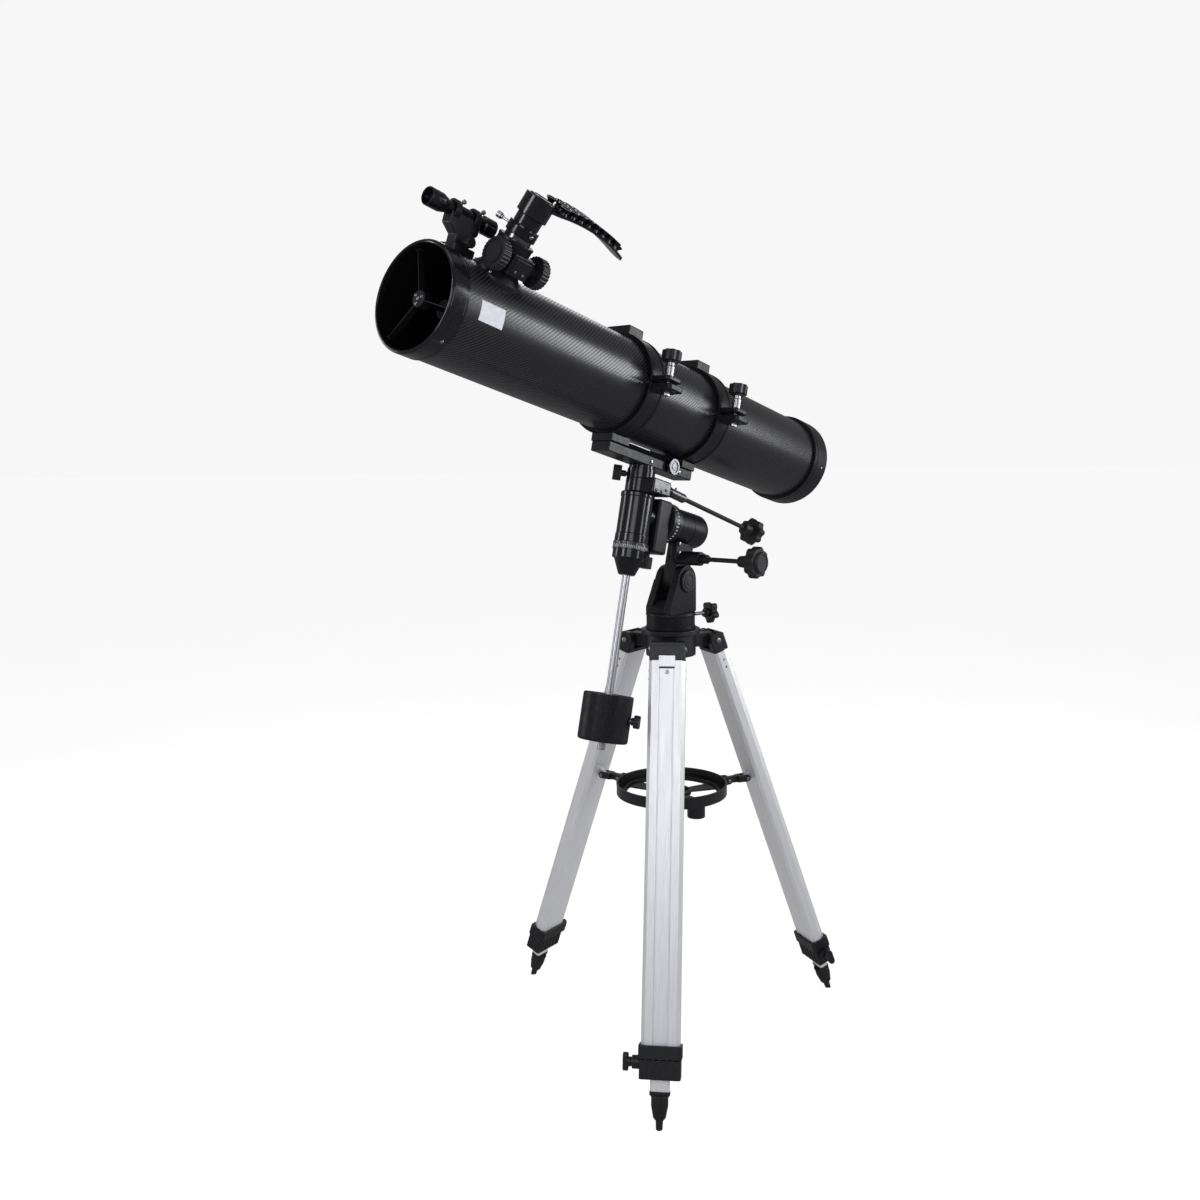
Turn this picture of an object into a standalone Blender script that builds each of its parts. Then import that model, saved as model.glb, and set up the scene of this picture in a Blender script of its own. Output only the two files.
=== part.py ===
"""Newtonian reflector telescope on a German equatorial mount and a folding aluminium tripod.

Lengths are metres, +Z is up. Every sub-assembly is modelled in its own frame, an empty that sits on the
joint's axis, so each object's numbers are the numbers of its own drawing. In the frames of the mount and
the tube, X points forward along the polar axis or the tube, Y to the right-hand side and Z outward.
"""
from math import cos, pi, radians, sin

import bmesh
import bpy
from mathutils import Matrix, Vector

# Driving dimensions -------------------------------------------------------------------------------
GAP = 0.0003                        # running gap between neighbouring pieces

LEG_HEADINGS = {"front": radians(-90), "left": radians(150), "right": radians(30)}
LEG_TILT = radians(20)              # each leg from the vertical
HINGE_RADIUS = 0.0717               # leg hinge from the tripod's axis
HINGE_HEIGHT = 0.6496
LEG_LENGTH = HINGE_HEIGHT / cos(LEG_TILT)
CHANNEL_WIDTH = 0.057
CHANNEL_DEPTH = 0.025
CHANNEL_WALL = 0.0022
CHANNEL_TOP = -0.0193
CHANNEL_BOTTOM = -0.5900
CLAMP_TOP = -0.5775
CLAMP_BOTTOM = -0.6240
LEG_SCREW = -0.6030
INNER_LEG_WIDTH = 0.028
INNER_LEG_DEPTH = 0.015
INNER_LEG_TOP = -0.060

HUB_TOP = 0.6715
HUB_RADIUS = 0.040
FLANGE_RADIUS = 0.047
SPIGOT_RADIUS = 0.0203
LUG_WIDTH = 0.025

TRAY_RADIUS = 0.090
TRAY_TOP = 0.4165
TRAY_HEIGHT = 0.0185
TRAY_FLOOR = 0.0025
TRAY_HINGE_RADIUS = 0.103
ARM_HINGE_RADIUS = 0.1385           # spreader arm's hinge on the leg, from the tripod's axis
ARM_HEIGHT = 0.4070
POCKET = (0.0425, -0.0580)

MOUNT_HEADING = radians(-123.36)    # direction that the polar axis points
LATITUDE = radians(14.1)            # polar axis above the horizon
PIVOT_BACK = 0.014                  # latitude pivot behind the tripod's axis
PIVOT_HEIGHT = 0.747
POLAR_RISE = 0.084                  # latitude pivot to polar axis
DEC_AHEAD = 0.126                   # latitude pivot to declination axis, along the polar axis
TUBE_RISE = 0.175                   # polar axis to tube axis
AZIMUTH_LOCK_HEADING = radians(163)
AZIMUTH_LOCK_HEIGHT = 0.690
COUNTERWEIGHT_TOP = -0.277          # below the polar axis
COUNTERWEIGHT_BOTTOM = -0.349
COUNTERWEIGHT_SCREW = radians(28)

TUBE_RADIUS = 0.070
TUBE_WALL = 0.0016
FRONT_RIM = 0.484                   # ahead of the declination axis
TUBE_MOUTH = 0.4765
TUBE_END = -0.4015
REAR_FACE = -0.421
RING_INNER = 0.0705
RING_OUTER = 0.0765
RING_WIDTH = 0.034
RING_PLACES = {"front": 0.085, "rear": -0.090}
RING_HINGE = 0.084                  # tube ring's hinge from the tube's axis
RING_BOLT = 0.094

SPIDER_PLACE = 0.469
SPIDER_ANGLES = (radians(105), radians(223), radians(343))
FOCUSER_PLACE = 0.389
FOCUSER_LEAN = radians(34)
DRAWTUBE_RADIUS = 0.018
PINION_OFFSET = 0.0222
PINION_HEIGHT = 0.0955
FINDER_LEAN = radians(9)
FINDER_RISE = 0.1180

FINE = 32
ROUND = 20
SMALL = 12

FINISHES = {
    "black_plastic": ((0.020, 0.020, 0.022), 0.0, 0.45),
    "black_paint": ((0.012, 0.012, 0.014), 0.0, 0.25),
    "carbon_wrap": ((0.035, 0.035, 0.040), 0.0, 0.30),
    "aluminium": ((0.62, 0.62, 0.64), 1.0, 0.35),
    "steel": ((0.60, 0.60, 0.62), 1.0, 0.22),
    "rubber": ((0.015, 0.015, 0.015), 0.0, 0.75),
    "mirror": ((0.90, 0.90, 0.92), 1.0, 0.03),
    "white_paint": ((0.80, 0.80, 0.80), 0.0, 0.40),
}

# Outlines -----------------------------------------------------------------------------------------


def arc(centre_x, centre_y, radius, start, end, steps):
    """Points on a circle from start to end, both included."""
    turns = [start + (end - start) * k / steps for k in range(steps + 1)]
    return [(centre_x + radius * cos(t), centre_y + radius * sin(t)) for t in turns]


def rounded_rectangle(width, depth, radius, steps=3):
    x, y = width / 2 - radius, depth / 2 - radius
    corners = ((x, y, 0), (-x, y, 1), (-x, -y, 2), (x, -y, 3))
    return [p for cx, cy, k in corners for p in arc(cx, cy, radius, k * pi / 2, (k + 1) * pi / 2, steps)]


def stadium(length, width, steps=7):
    """A bar with round ends, along X."""
    reach, radius = (length - width) / 2, width / 2
    return arc(reach, 0, radius, -pi / 2, pi / 2, steps) + arc(-reach, 0, radius, pi / 2, 3 * pi / 2, steps)


def lobed(radius, depth, lobes, steps=6):
    """A star-knob outline: a circle whose radius swells at each lobe."""
    count = lobes * steps
    turns = [2 * pi * k / count for k in range(count)]
    reach = [radius - depth * (1 - cos(lobes * t)) / 2 for t in turns]
    return [(r * cos(t), r * sin(t)) for r, t in zip(reach, turns)]


# Meshes -------------------------------------------------------------------------------------------


def finished(form, angle=35):
    """Turn a bmesh into a mesh whose faces point out, smooth on its round stretches."""
    bmesh.ops.recalc_face_normals(form, faces=form.faces)
    mesh = bpy.data.meshes.new("form")
    form.to_mesh(mesh)
    form.free()
    mesh.shade_smooth()
    mesh.set_sharp_from_angle(angle=radians(angle))
    return mesh


def turned(profile, sides=ROUND):
    """Turn a profile of (radius, height) points about Z; a profile that leaves the axis closes on itself."""
    form = bmesh.new()
    rings = []
    for radius, height in profile:
        if radius < 1e-7:
            rings.append([form.verts.new((0, 0, height))])
        else:
            rings.append([form.verts.new((x, y, height)) for x, y in arc(0, 0, radius, 0, 2 * pi, sides)[:-1]])
    solid_core = len(rings[0]) == 1 and len(rings[-1]) == 1
    for low, high in zip(rings, rings[1:] if solid_core else rings[1:] + rings[:1]):
        for k in range(sides):
            following = k + 1
            corners = [low[k % len(low)], low[following % sides % len(low)],
                       high[following % sides % len(high)], high[k % len(high)]]
            form.faces.new(list(dict.fromkeys(corners)))
    return finished(form)


def rod(radius, low, high, bevel=0.0, sides=SMALL):
    """A cylinder along Z, its end edges bevelled."""
    if not bevel:
        return turned([(0, low), (radius, low), (radius, high), (0, high)], sides)
    return turned([(0, low), (radius - bevel, low), (radius, low + bevel), (radius, high - bevel),
                   (radius - bevel, high), (0, high)], sides)


def pipe(outer, inner, low, high, bevel=0.0, sides=ROUND):
    """A tube along Z, its outer end edges bevelled."""
    if not bevel:
        return turned([(outer, low), (outer, high), (inner, high), (inner, low)], sides)
    return turned([(outer - bevel, low), (outer, low + bevel), (outer, high - bevel), (outer - bevel, high),
                   (inner, high), (inner, low)], sides)


def prism(outline, low, high, bevel=0.0):
    """Extrude an outline along Z, its end edges bevelled."""
    form = bmesh.new()
    base = form.faces.new([form.verts.new((x, y, low)) for x, y in outline])
    lifted = bmesh.ops.extrude_face_region(form, geom=[base])["geom"]
    corners = [v for v in lifted if isinstance(v, bmesh.types.BMVert)]
    bmesh.ops.translate(form, vec=(0, 0, high - low), verts=corners)
    if bevel:
        level = [e for e in form.edges if abs(e.verts[0].co.z - e.verts[1].co.z) < 1e-7]
        bmesh.ops.bevel(form, geom=level, offset=bevel, segments=1, affect="EDGES")
    return finished(form)


def block(low, high, bevel=0.0):
    """A box between two corners, its edges bevelled."""
    form = bmesh.new()
    bmesh.ops.create_cube(form, size=1)
    middle = [(a + b) / 2 for a, b in zip(low, high)]
    size = [b - a for a, b in zip(low, high)]
    bmesh.ops.transform(form, matrix=Matrix.Translation(middle) @ Matrix.Diagonal((*size, 1)), verts=form.verts)
    if bevel:
        bmesh.ops.bevel(form, geom=form.edges[:], offset=bevel, segments=1, affect="EDGES")
    return finished(form)


ALONG_X = Matrix.Rotation(pi / 2, 4, "Y")      # a Z shape laid along +X
ALONG_Y = Matrix.Rotation(-pi / 2, 4, "X")     # a Z shape laid along +Y
IN_XZ = Matrix.Rotation(pi / 2, 4, "X")        # an outline stood in the XZ plane, its thickness along Y
IN_YZ = Matrix(((0, 0, 1, 0), (1, 0, 0, 0), (0, 1, 0, 0), (0, 0, 0, 1)))    # and in YZ, thickness along X


def at(x, y, z, turn=None):
    return Matrix.Translation((x, y, z)) @ (turn or Matrix.Identity(4))


def about(axis, angle):
    return Matrix.Rotation(angle, 4, axis)


# Objects ------------------------------------------------------------------------------------------


def frame(name, parent=None, place=(0, 0, 0), turn=(0, 0, 0)):
    """An empty that pieces are placed from; the joint's axis passes through it."""
    empty = bpy.data.objects.new(name, None)
    empty.empty_display_size = 0.02
    empty.parent = parent
    empty.location = place
    empty.rotation_euler = turn
    bpy.context.scene.collection.objects.link(empty)
    return empty


def linked(name, mesh, parent, matrix):
    piece = bpy.data.objects.new(name, mesh)
    piece.parent = parent
    piece.matrix_local = matrix
    bpy.context.scene.collection.objects.link(piece)
    return piece


def finish_material(name, finish):
    material = bpy.data.materials.new(name)
    material.use_nodes = True
    colour, metallic, roughness = FINISHES[finish]
    shader = material.node_tree.nodes["Principled BSDF"]
    shader.inputs["Base Color"].default_value = (*colour, 1)
    shader.inputs["Metallic"].default_value = metallic
    shader.inputs["Roughness"].default_value = roughness
    return material


def solid(name, parent, finish, base, steps=()):
    """One named piece: a placed mesh, then further placed meshes joined to it or cut from it, in order."""
    piece = linked(name, base[0], parent, base[1])
    material = finish_material(name, finish)
    piece.data.materials.append(material)
    for number, (operation, mesh, matrix) in enumerate(steps):
        guide = linked(f"{name}_{number}_{operation.lower()}", mesh, parent, matrix)
        guide.hide_render = True
        guide.display_type = "WIRE"
        mesh.materials.append(material)
        step = piece.modifiers.new(f"{operation.lower()}_{number}", "BOOLEAN")
        step.operation = operation
        step.object = guide
    return piece


def join(mesh, matrix=None):
    return "UNION", mesh, matrix or Matrix.Identity(4)


def cut(mesh, matrix=None):
    return "DIFFERENCE", mesh, matrix or Matrix.Identity(4)


def placed(mesh, matrix=None):
    return mesh, matrix or Matrix.Identity(4)


# Tripod -------------------------------------------------------------------------------------------


def on_heading(heading, radius, height):
    return radius * cos(heading), radius * sin(heading), height


def make_hub(row):
    steps = []
    for heading in LEG_HEADINGS.values():
        bar = [(0.030, -0.0105), *arc(HINGE_RADIUS, 0, 0.0105, -pi / 2, pi / 2, 6), (0.030, 0.0105)]
        lug = prism(bar, -LUG_WIDTH / 2, LUG_WIDTH / 2)
        steps.append(join(lug, about("Z", heading) @ at(0, 0, HINGE_HEIGHT, IN_XZ)))
    for heading in LEG_HEADINGS.values():
        bore = rod(0.0032, -0.02, 0.02)
        steps.append(cut(bore, about("Z", heading) @ at(HINGE_RADIUS, 0, HINGE_HEIGHT, IN_XZ)))
    body = turned([(0, 0.6285), (HUB_RADIUS - 0.002, 0.6285), (HUB_RADIUS, 0.6305), (HUB_RADIUS, 0.6625),
                   (FLANGE_RADIUS, 0.6640), (FLANGE_RADIUS, HUB_TOP - 0.0012), (FLANGE_RADIUS - 0.0012, HUB_TOP),
                   (SPIGOT_RADIUS, HUB_TOP), (SPIGOT_RADIUS, 0.6890), (SPIGOT_RADIUS - 0.001, 0.6900), (0, 0.6900)],
                  FINE)
    solid("tripod_hub", row, "black_plastic", placed(body), steps)


def channel_outline(shrink=0.0):
    """The leg's section: a flat outer face (+Y) with a shallow band, bevelled sides and a plain back."""
    side, depth = CHANNEL_WIDTH / 2 - shrink, CHANNEL_DEPTH / 2 - shrink
    half = [(side - 0.004, -depth), (side, -depth + 0.004), (side, depth - 0.009), (side - 0.0055, depth)]
    if not shrink:
        half += [(0.0109, depth), (0.0103, depth - 0.0012)]
    return half + [(-x, y) for x, y in reversed(half)]


def arm_hinge_on_leg():
    """The spreader arm's hinge in a leg's frame."""
    out, up = ARM_HINGE_RADIUS - HINGE_RADIUS, ARM_HEIGHT - HINGE_HEIGHT
    return out * cos(LEG_TILT) + up * sin(LEG_TILT), -out * sin(LEG_TILT) + up * cos(LEG_TILT)


def make_leg(row, name, heading):
    hinge = frame(f"leg_frame_{name}", row, on_heading(heading, HINGE_RADIUS, HINGE_HEIGHT),
                  (LEG_TILT, 0, heading - pi / 2))

    steps = []
    cheek_outline = [(-0.0130, -0.0160), (0.0130, -0.0160), *arc(0, 0, 0.0130, 0, pi, 7)]
    for side in (-1, 1):
        near, far = sorted((side * 0.0130, side * 0.0272))
        steps.append(join(prism(cheek_outline, near, far), IN_YZ))
    steps.append(join(rod(0.0028, -0.0200, 0.0200, sides=12), ALONG_X))
    steps.append(join(prism(rounded_rectangle(CHANNEL_WIDTH - 0.014, 0.017, 0.003, 1), -0.042, -0.017)))
    yoke = prism(rounded_rectangle(0.0555, 0.0265, 0.003), CHANNEL_TOP + GAP, -0.0128)
    solid(f"leg_bracket_{name}", hinge, "black_plastic", placed(yoke), steps)

    hinge_y, hinge_z = arm_hinge_on_leg()
    back = -CHANNEL_DEPTH / 2 + 0.001
    tab = [(back, hinge_z - 0.009), (back, hinge_z + 0.009), *arc(hinge_y, hinge_z, 0.0055, pi / 2, 3 * pi / 2, 6)]
    solid(f"leg_channel_{name}", hinge, "aluminium",
          placed(prism(channel_outline(), CHANNEL_BOTTOM, CHANNEL_TOP)),
          [join(prism(tab, -0.004, 0.004), IN_YZ),
           cut(prism(channel_outline(CHANNEL_WALL), CHANNEL_BOTTOM - 0.01, CHANNEL_TOP + 0.01)),
           cut(rod(0.0024, -0.01, 0.01, sides=12), at(0, hinge_y, hinge_z, ALONG_X))])

    socket = [(x * 1.014, y * 1.032) for x, y in channel_outline()]
    slot = rounded_rectangle(INNER_LEG_WIDTH + 2 * GAP, INNER_LEG_DEPTH + 2 * GAP, 0.003)
    solid(f"leg_clamp_{name}", hinge, "black_plastic",
          placed(prism(rounded_rectangle(0.063, 0.0335, 0.004), CLAMP_BOTTOM, CLAMP_TOP, 0.001)),
          [join(rod(0.0095, 0.028, 0.041), at(0, 0, LEG_SCREW, ALONG_X)),
           cut(prism(socket, CHANNEL_BOTTOM - GAP, -0.55)),
           cut(prism(slot, -0.65, -0.580)),
           cut(rod(0.0033, 0.010, 0.045), at(0, 0, LEG_SCREW, ALONG_X))])

    slide = frame(f"inner_leg_frame_{name}", hinge)
    rail = rounded_rectangle(INNER_LEG_WIDTH, INNER_LEG_DEPTH, 0.003)
    solid(f"inner_leg_{name}", slide, "aluminium", placed(prism(rail, -0.6455, INNER_LEG_TOP)))
    foot = turned([(0, -0.6458), (0.0125, -0.6458), (0.0132, -0.6465), (0.0122, -0.6600), (0.0092, -0.6760),
                   (0.0060, -0.6800), (0.0046, -LEG_LENGTH - 0.004), (0, -LEG_LENGTH - 0.004)], 16)
    out = HINGE_RADIUS + LEG_LENGTH * sin(LEG_TILT)
    ground = leg_matrix(heading).inverted() @ Matrix.Translation(on_heading(heading, out, 0))
    solid(f"foot_{name}", slide, "rubber", placed(foot), [cut(block((-0.05, -0.05, -0.05), (0.05, 0.05, 0)), ground)])

    screw = frame(f"leg_screw_frame_{name}", hinge, (0.0415, 0, LEG_SCREW))
    solid(f"leg_lock_screw_{name}", screw, "black_plastic",
          placed(prism(stadium(0.026, 0.011, 5), 0.0035, 0.0130), ALONG_X),
          [join(turned([(0, -0.0265), (0.0030, -0.0265), (0.0030, 0.0003), (0.0068, 0.0003), (0.0068, 0.0050),
                        (0, 0.0050)], SMALL), ALONG_X)])


def leg_matrix(heading):
    """A leg frame's matrix in the row's frame."""
    return Matrix.Translation(on_heading(heading, HINGE_RADIUS, HINGE_HEIGHT)) \
        @ about("Z", heading - pi / 2) @ about("X", LEG_TILT)


def make_arm(row, name, heading):
    """A spreader arm: a fork over the leg's tab and a single tongue between the tray's ears."""
    place = frame(f"arm_frame_{name}", row, on_heading(heading, ARM_HINGE_RADIUS, ARM_HEIGHT), (0, 0, heading))
    reach = TRAY_HINGE_RADIUS - ARM_HINGE_RADIUS
    bar = arc(reach, 0, 0.0050, pi / 2, 3 * pi / 2, 6) + arc(0, 0, 0.0058, -pi / 2, pi / 2, 6)
    steps = [cut(block((-0.0105, -0.0044, -0.02), (0.02, 0.0044, 0.02)))]
    for low, high in ((-0.02, -0.0042), (0.0042, 0.02)):
        steps.append(cut(block((reach - 0.02, low, -0.02), (reach + 0.018, high, 0.02))))
    steps.append(join(rod(0.0020, -0.0070, 0.0070, sides=12), IN_XZ))
    solid(f"spreader_arm_{name}", place, "black_plastic", placed(prism(bar, -0.0085, 0.0085, 0.0006), IN_XZ), steps)


def make_tray(row):
    place = frame("tray_frame", row)
    low = TRAY_TOP - TRAY_HEIGHT
    dish = turned([(0, low), (TRAY_RADIUS - 0.003, low), (TRAY_RADIUS, low + 0.003), (TRAY_RADIUS, TRAY_TOP),
                   (TRAY_RADIUS - 0.0025, TRAY_TOP), (TRAY_RADIUS - 0.0028, low + TRAY_FLOOR), (0, low + TRAY_FLOOR)],
                  FINE)
    steps = []
    ear = [(TRAY_RADIUS - 0.0015, -0.007), *arc(TRAY_HINGE_RADIUS, 0, 0.006, -pi / 2, pi / 2, 5),
           (TRAY_RADIUS - 0.0015, 0.007)]
    for heading in LEG_HEADINGS.values():
        for near, far in ((-0.0095, -0.0052), (0.0052, 0.0095)):
            steps.append(join(prism(ear, near, far), about("Z", heading) @ at(0, 0, ARM_HEIGHT, IN_XZ)))
    for start, end in ((-38, 18), (42, 138), (162, 258)):
        start, end = radians(start), radians(end)
        window = arc(0, 0, 0.074, start, end, 8) + arc(0, 0, 0.032, end - 0.12, start + 0.12, 4)
        steps.append(cut(prism(window, low - 0.01, low + 0.01)))
    x, y = POCKET
    steps.append(join(rod(0.0142, low - 0.0200, low + TRAY_FLOOR / 2, 0.0008, 24), at(x, y, 0)))
    steps.append(cut(rod(0.0122, low - 0.0180, low + 0.02, sides=24), at(x, y, 0)))
    solid("accessory_tray", place, "black_plastic", placed(dish), steps)


# Mount --------------------------------------------------------------------------------------------


def make_azimuth_base(azimuth):
    base = turned([(0, 0.6718), (HUB_RADIUS - 0.001, 0.6718), (HUB_RADIUS, 0.6728), (HUB_RADIUS, 0.6965),
                   (HUB_RADIUS - 0.0015, 0.6980), (0, 0.6980)], FINE)
    cheek = [(-PIVOT_BACK - 0.025, 0.6960), (0.034, 0.6960), (0.034, 0.7070),
             *arc(-PIVOT_BACK, PIVOT_HEIGHT, 0.025, radians(26), pi, 12)]
    web = [(-PIVOT_BACK - 0.025, 0.6960), (0.034, 0.6960), (0.034, 0.7070), (0.020, 0.7180),
           (-PIVOT_BACK - 0.025, 0.7180)]
    lock = about("Z", AZIMUTH_LOCK_HEADING) @ at(0, 0, AZIMUTH_LOCK_HEIGHT, ALONG_X)
    solid("azimuth_base", azimuth, "black_paint", placed(base),
          [join(prism(cheek, -0.0230, -0.0115, 0.0012), IN_XZ), join(prism(cheek, 0.0115, 0.0230, 0.0012), IN_XZ),
           join(prism(web, -0.0125, 0.0125), IN_XZ),
           cut(rod(SPIGOT_RADIUS + GAP, 0.66, 0.6905, sides=FINE)),
           cut(rod(0.0033, 0.015, 0.050), lock),
           cut(rod(0.0043, -0.05, 0.05), at(-PIVOT_BACK, 0, PIVOT_HEIGHT, IN_XZ))])


def make_azimuth_lock(azimuth):
    knob = frame("azimuth_lock_frame", azimuth, (0, 0, AZIMUTH_LOCK_HEIGHT), (0, 0, AZIMUTH_LOCK_HEADING))
    solid("azimuth_lock_knob", knob, "black_plastic",
          placed(prism(lobed(0.018, 0.005, 5, 6), 0.0740, 0.0860), ALONG_X),
          [join(rod(0.0070, 0.0680, 0.0760, 0.0008), ALONG_X), join(rod(0.0030, 0.0212, 0.0720), ALONG_X)])


def make_latitude_bolt(latitude):
    bolt = frame("latitude_bolt_frame", latitude)
    solid("latitude_bolt", bolt, "black_plastic",
          placed(turned([(0, -0.0278), (0.0168, -0.0278), (0.0180, -0.0266), (0.0180, -0.0233), (0.0040, -0.0233),
                         (0.0040, 0.0233), (0.0095, 0.0233), (0.0095, 0.0290), (0, 0.0290)], 24), IN_XZ))


def make_ra_housing(latitude):
    """Tongue on the latitude pivot, rear cap, bearing block and worm housing, in one casting."""
    tongue = [(-0.020, 0.064), *arc(0, 0, 0.0215, pi, 2 * pi, 12), (0.020, 0.064)]
    cap = turned([(0, -0.0350), (0.0230, -0.0350), (0.0280, -0.0290), (0.0280, 0.0438), (0, 0.0438)])
    solid("ra_housing", latitude, "black_paint", placed(cap, at(0, 0, POLAR_RISE, ALONG_X)),
          [join(prism(tongue, -0.0110, 0.0110, 0.001), IN_XZ),
           join(rod(0.0177, 0.03, 0.07, sides=ROUND), at(0, 0, POLAR_RISE, ALONG_X)),
           join(block((0.0660, -0.0240, POLAR_RISE - 0.0540), (0.0982, 0.0240, POLAR_RISE + 0.0300), 0.0035)),
           join(rod(0.0110, 0.0050, 0.0560, 0.0012, 24), at(0.0160, 0, 0.0350, ALONG_Y)),
           cut(rod(0.0120, -0.0100, 0.1200, sides=ROUND), at(0, 0, POLAR_RISE, ALONG_X)),
           cut(rod(0.0054, -0.0050, 0.0700), at(0.0160, 0, 0.0350, ALONG_Y)),
           cut(rod(0.0033, 0.0200, 0.0800), at(0.0840, 0, 0)),
           cut(rod(0.0043, -0.05, 0.05), IN_XZ)])


def make_ra_circle(latitude):
    circle = frame("ra_circle_frame", latitude, (0, 0, POLAR_RISE))
    solid("ra_setting_circle", circle, "black_paint", placed(pipe(0.0320, 0.0180, 0.0443, 0.0655, 0.0012, FINE), ALONG_X))


def make_ra_slow_motion(latitude):
    knob = frame("ra_slow_motion_frame", latitude, (0.0160, 0, 0.0350))
    grip = prism(lobed(0.0245, 0.0035, 8, 4), 0.1480, 0.1640)
    shaft = turned([(0, 0.0000), (0.0050, 0.0000), (0.0050, 0.0565), (0.0072, 0.0565), (0.0072, 0.0680),
                    (0.0036, 0.0700), (0.0036, 0.1280), (0.0080, 0.1290), (0.0110, 0.1500), (0, 0.1500)], 20)
    solid("ra_slow_motion_knob", knob, "rubber", placed(grip, ALONG_Y),
          [join(shaft, ALONG_Y), join(turned([(0, 0.16), (0.0170, 0.16), (0.0150, 0.1680), (0, 0.1700)], 24), ALONG_Y)])


def make_ra_lock(latitude):
    knob = frame("ra_lock_frame", latitude, (0.0840, 0, 0))
    solid("ra_lock_knob", knob, "black_plastic", placed(prism(lobed(0.0105, 0.001, 8, 3), 0.0060, 0.0240)),
          [join(rod(0.0050, 0.0230, 0.0296)), join(rod(0.0030, 0.0280, 0.0700))])


def make_declination_head(polar):
    """The declination housing with its bearing block for the worm, and the polar shaft it turns on."""
    head = frame("declination_head_frame", polar)
    solid("ra_shaft", head, "steel", placed(rod(0.0117, -0.0080, 0.0982, 0.0008, ROUND), ALONG_X))
    housing = turned([(0, -0.0450), (0.0260, -0.0450), (0.0260, 0.0310), (0.0215, 0.0340), (0.0215, 0.0680),
                      (0, 0.0680)], FINE)
    worm = worm_matrix()
    lock = dec_lock_matrix()
    solid("dec_housing", head, "black_paint", placed(housing, at(DEC_AHEAD, 0, 0)),
          [join(rod(0.0190, -0.0275, -0.0100, sides=ROUND), at(DEC_AHEAD, 0, 0, ALONG_X)),
           join(block((DEC_AHEAD - 0.0272, 0.0080, 0.0310), (DEC_AHEAD + 0.0160, 0.0410, 0.0540), 0.0025)),
           join(rod(0.0085, -0.0310, -0.0100), worm @ ALONG_X),
           cut(rod(0.0125, -0.06, 0.10, sides=ROUND), at(DEC_AHEAD, 0, 0)),
           cut(rod(0.0046, -0.0600, 0.0125), worm @ ALONG_X),
           cut(rod(0.0033, 0.0080, 0.0500), lock)])


def worm_matrix():
    """The declination worm's frame in the polar frame: its cable droops a little to the rear."""
    return at(DEC_AHEAD - 0.0050, 0.0300, 0.0445, about("Y", radians(-4.2)))


def dec_lock_matrix():
    """The declination lock screw's direction, pointing out of the housing."""
    return at(DEC_AHEAD, 0, 0.0590, about("Z", radians(-49)) @ ALONG_X)


def make_dec_slow_motion(polar):
    knob = frame("dec_slow_motion_frame", polar, (DEC_AHEAD - 0.0050, 0.0300, 0.0445), (0, radians(-4.2), 0))
    grip = prism(lobed(0.0225, 0.0032, 8, 4), 0.2670, 0.2830)
    shaft = turned([(0, -0.0100), (0.0042, -0.0100), (0.0042, 0.0330), (0.0072, 0.0330), (0.0072, 0.0700),
                    (0.0036, 0.0720), (0.0036, 0.2480), (0.0080, 0.2490), (0.0110, 0.2700), (0, 0.2700)], 20)
    cap = turned([(0, 0.28), (0.0150, 0.28), (0.0130, 0.2860), (0, 0.2880)], 24)
    backward = about("Y", -pi / 2)
    solid("dec_slow_motion_knob", knob, "rubber", placed(grip, backward), [join(shaft, backward), join(cap, backward)])


def make_dec_lock(polar):
    knob = frame("dec_lock_frame", polar, (DEC_AHEAD, 0, 0.0590), (0, 0, radians(-49)))
    solid("dec_lock_knob", knob, "black_plastic",
          placed(prism(lobed(0.0122, 0.0012, 8, 3), 0.0300, 0.0430), ALONG_X),
          [join(rod(0.0048, 0.0225, 0.0320), ALONG_X), join(rod(0.0030, 0.0145, 0.0300), ALONG_X)])


def make_declination_axle(polar):
    axle = frame("declination_frame", polar, (DEC_AHEAD, 0, 0))
    shaft = turned([(0, -0.0950), (0.0120, -0.0950), (0.0240, -0.0700), (0.0260, -0.0690), (0.0260, -0.0573),
                    (0.0122, -0.0573), (0.0122, 0.0683), (0.0200, 0.0683), (0.0200, 0.0737), (0, 0.0737)], ROUND)
    solid("dec_shaft", axle, "black_paint", placed(shaft), [cut(rod(0.0063, -0.10, -0.0750))])
    solid("dec_setting_circle", axle, "black_paint", placed(pipe(0.0275, 0.0125, -0.0570, -0.0453, 0.0008, FINE)))
    solid("counterweight_rod", axle, "steel", placed(rod(0.0060, -0.3620, -0.0753, 0.0008, 20)))
    return axle


def make_counterweight(axle):
    slide = frame("counterweight_frame", axle)
    middle = (COUNTERWEIGHT_TOP + COUNTERWEIGHT_BOTTOM) / 2
    low, high = COUNTERWEIGHT_BOTTOM, COUNTERWEIGHT_TOP
    body = turned([(0, low), (0.0315, low), (0.0360, low + 0.0020), (0.0385, low + 0.0070), (0.0385, high - 0.0050),
                   (0.0370, high - 0.0015), (0.0335, high), (0, high)], FINE)
    solid("counterweight", slide, "black_paint", placed(body),
          [cut(rod(0.0063, low - 0.01, high + 0.01, sides=20)), cut(rod(0.0043, 0.0, 0.050), at(0, 0, middle, about("Z", COUNTERWEIGHT_SCREW) @ ALONG_Y))])
    screw = frame("counterweight_screw_frame", slide, (0, 0, middle), (0, 0, COUNTERWEIGHT_SCREW))
    solid("counterweight_screw", screw, "black_plastic",
          placed(prism(lobed(0.0110, 0.0035, 3, 8), 0.0430, 0.0530), ALONG_Y),
          [join(rod(0.0060, 0.0400, 0.0440), ALONG_Y), join(rod(0.0040, 0.0070, 0.0420), ALONG_Y)])


# Cradle and rings ---------------------------------------------------------------------------------


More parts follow.
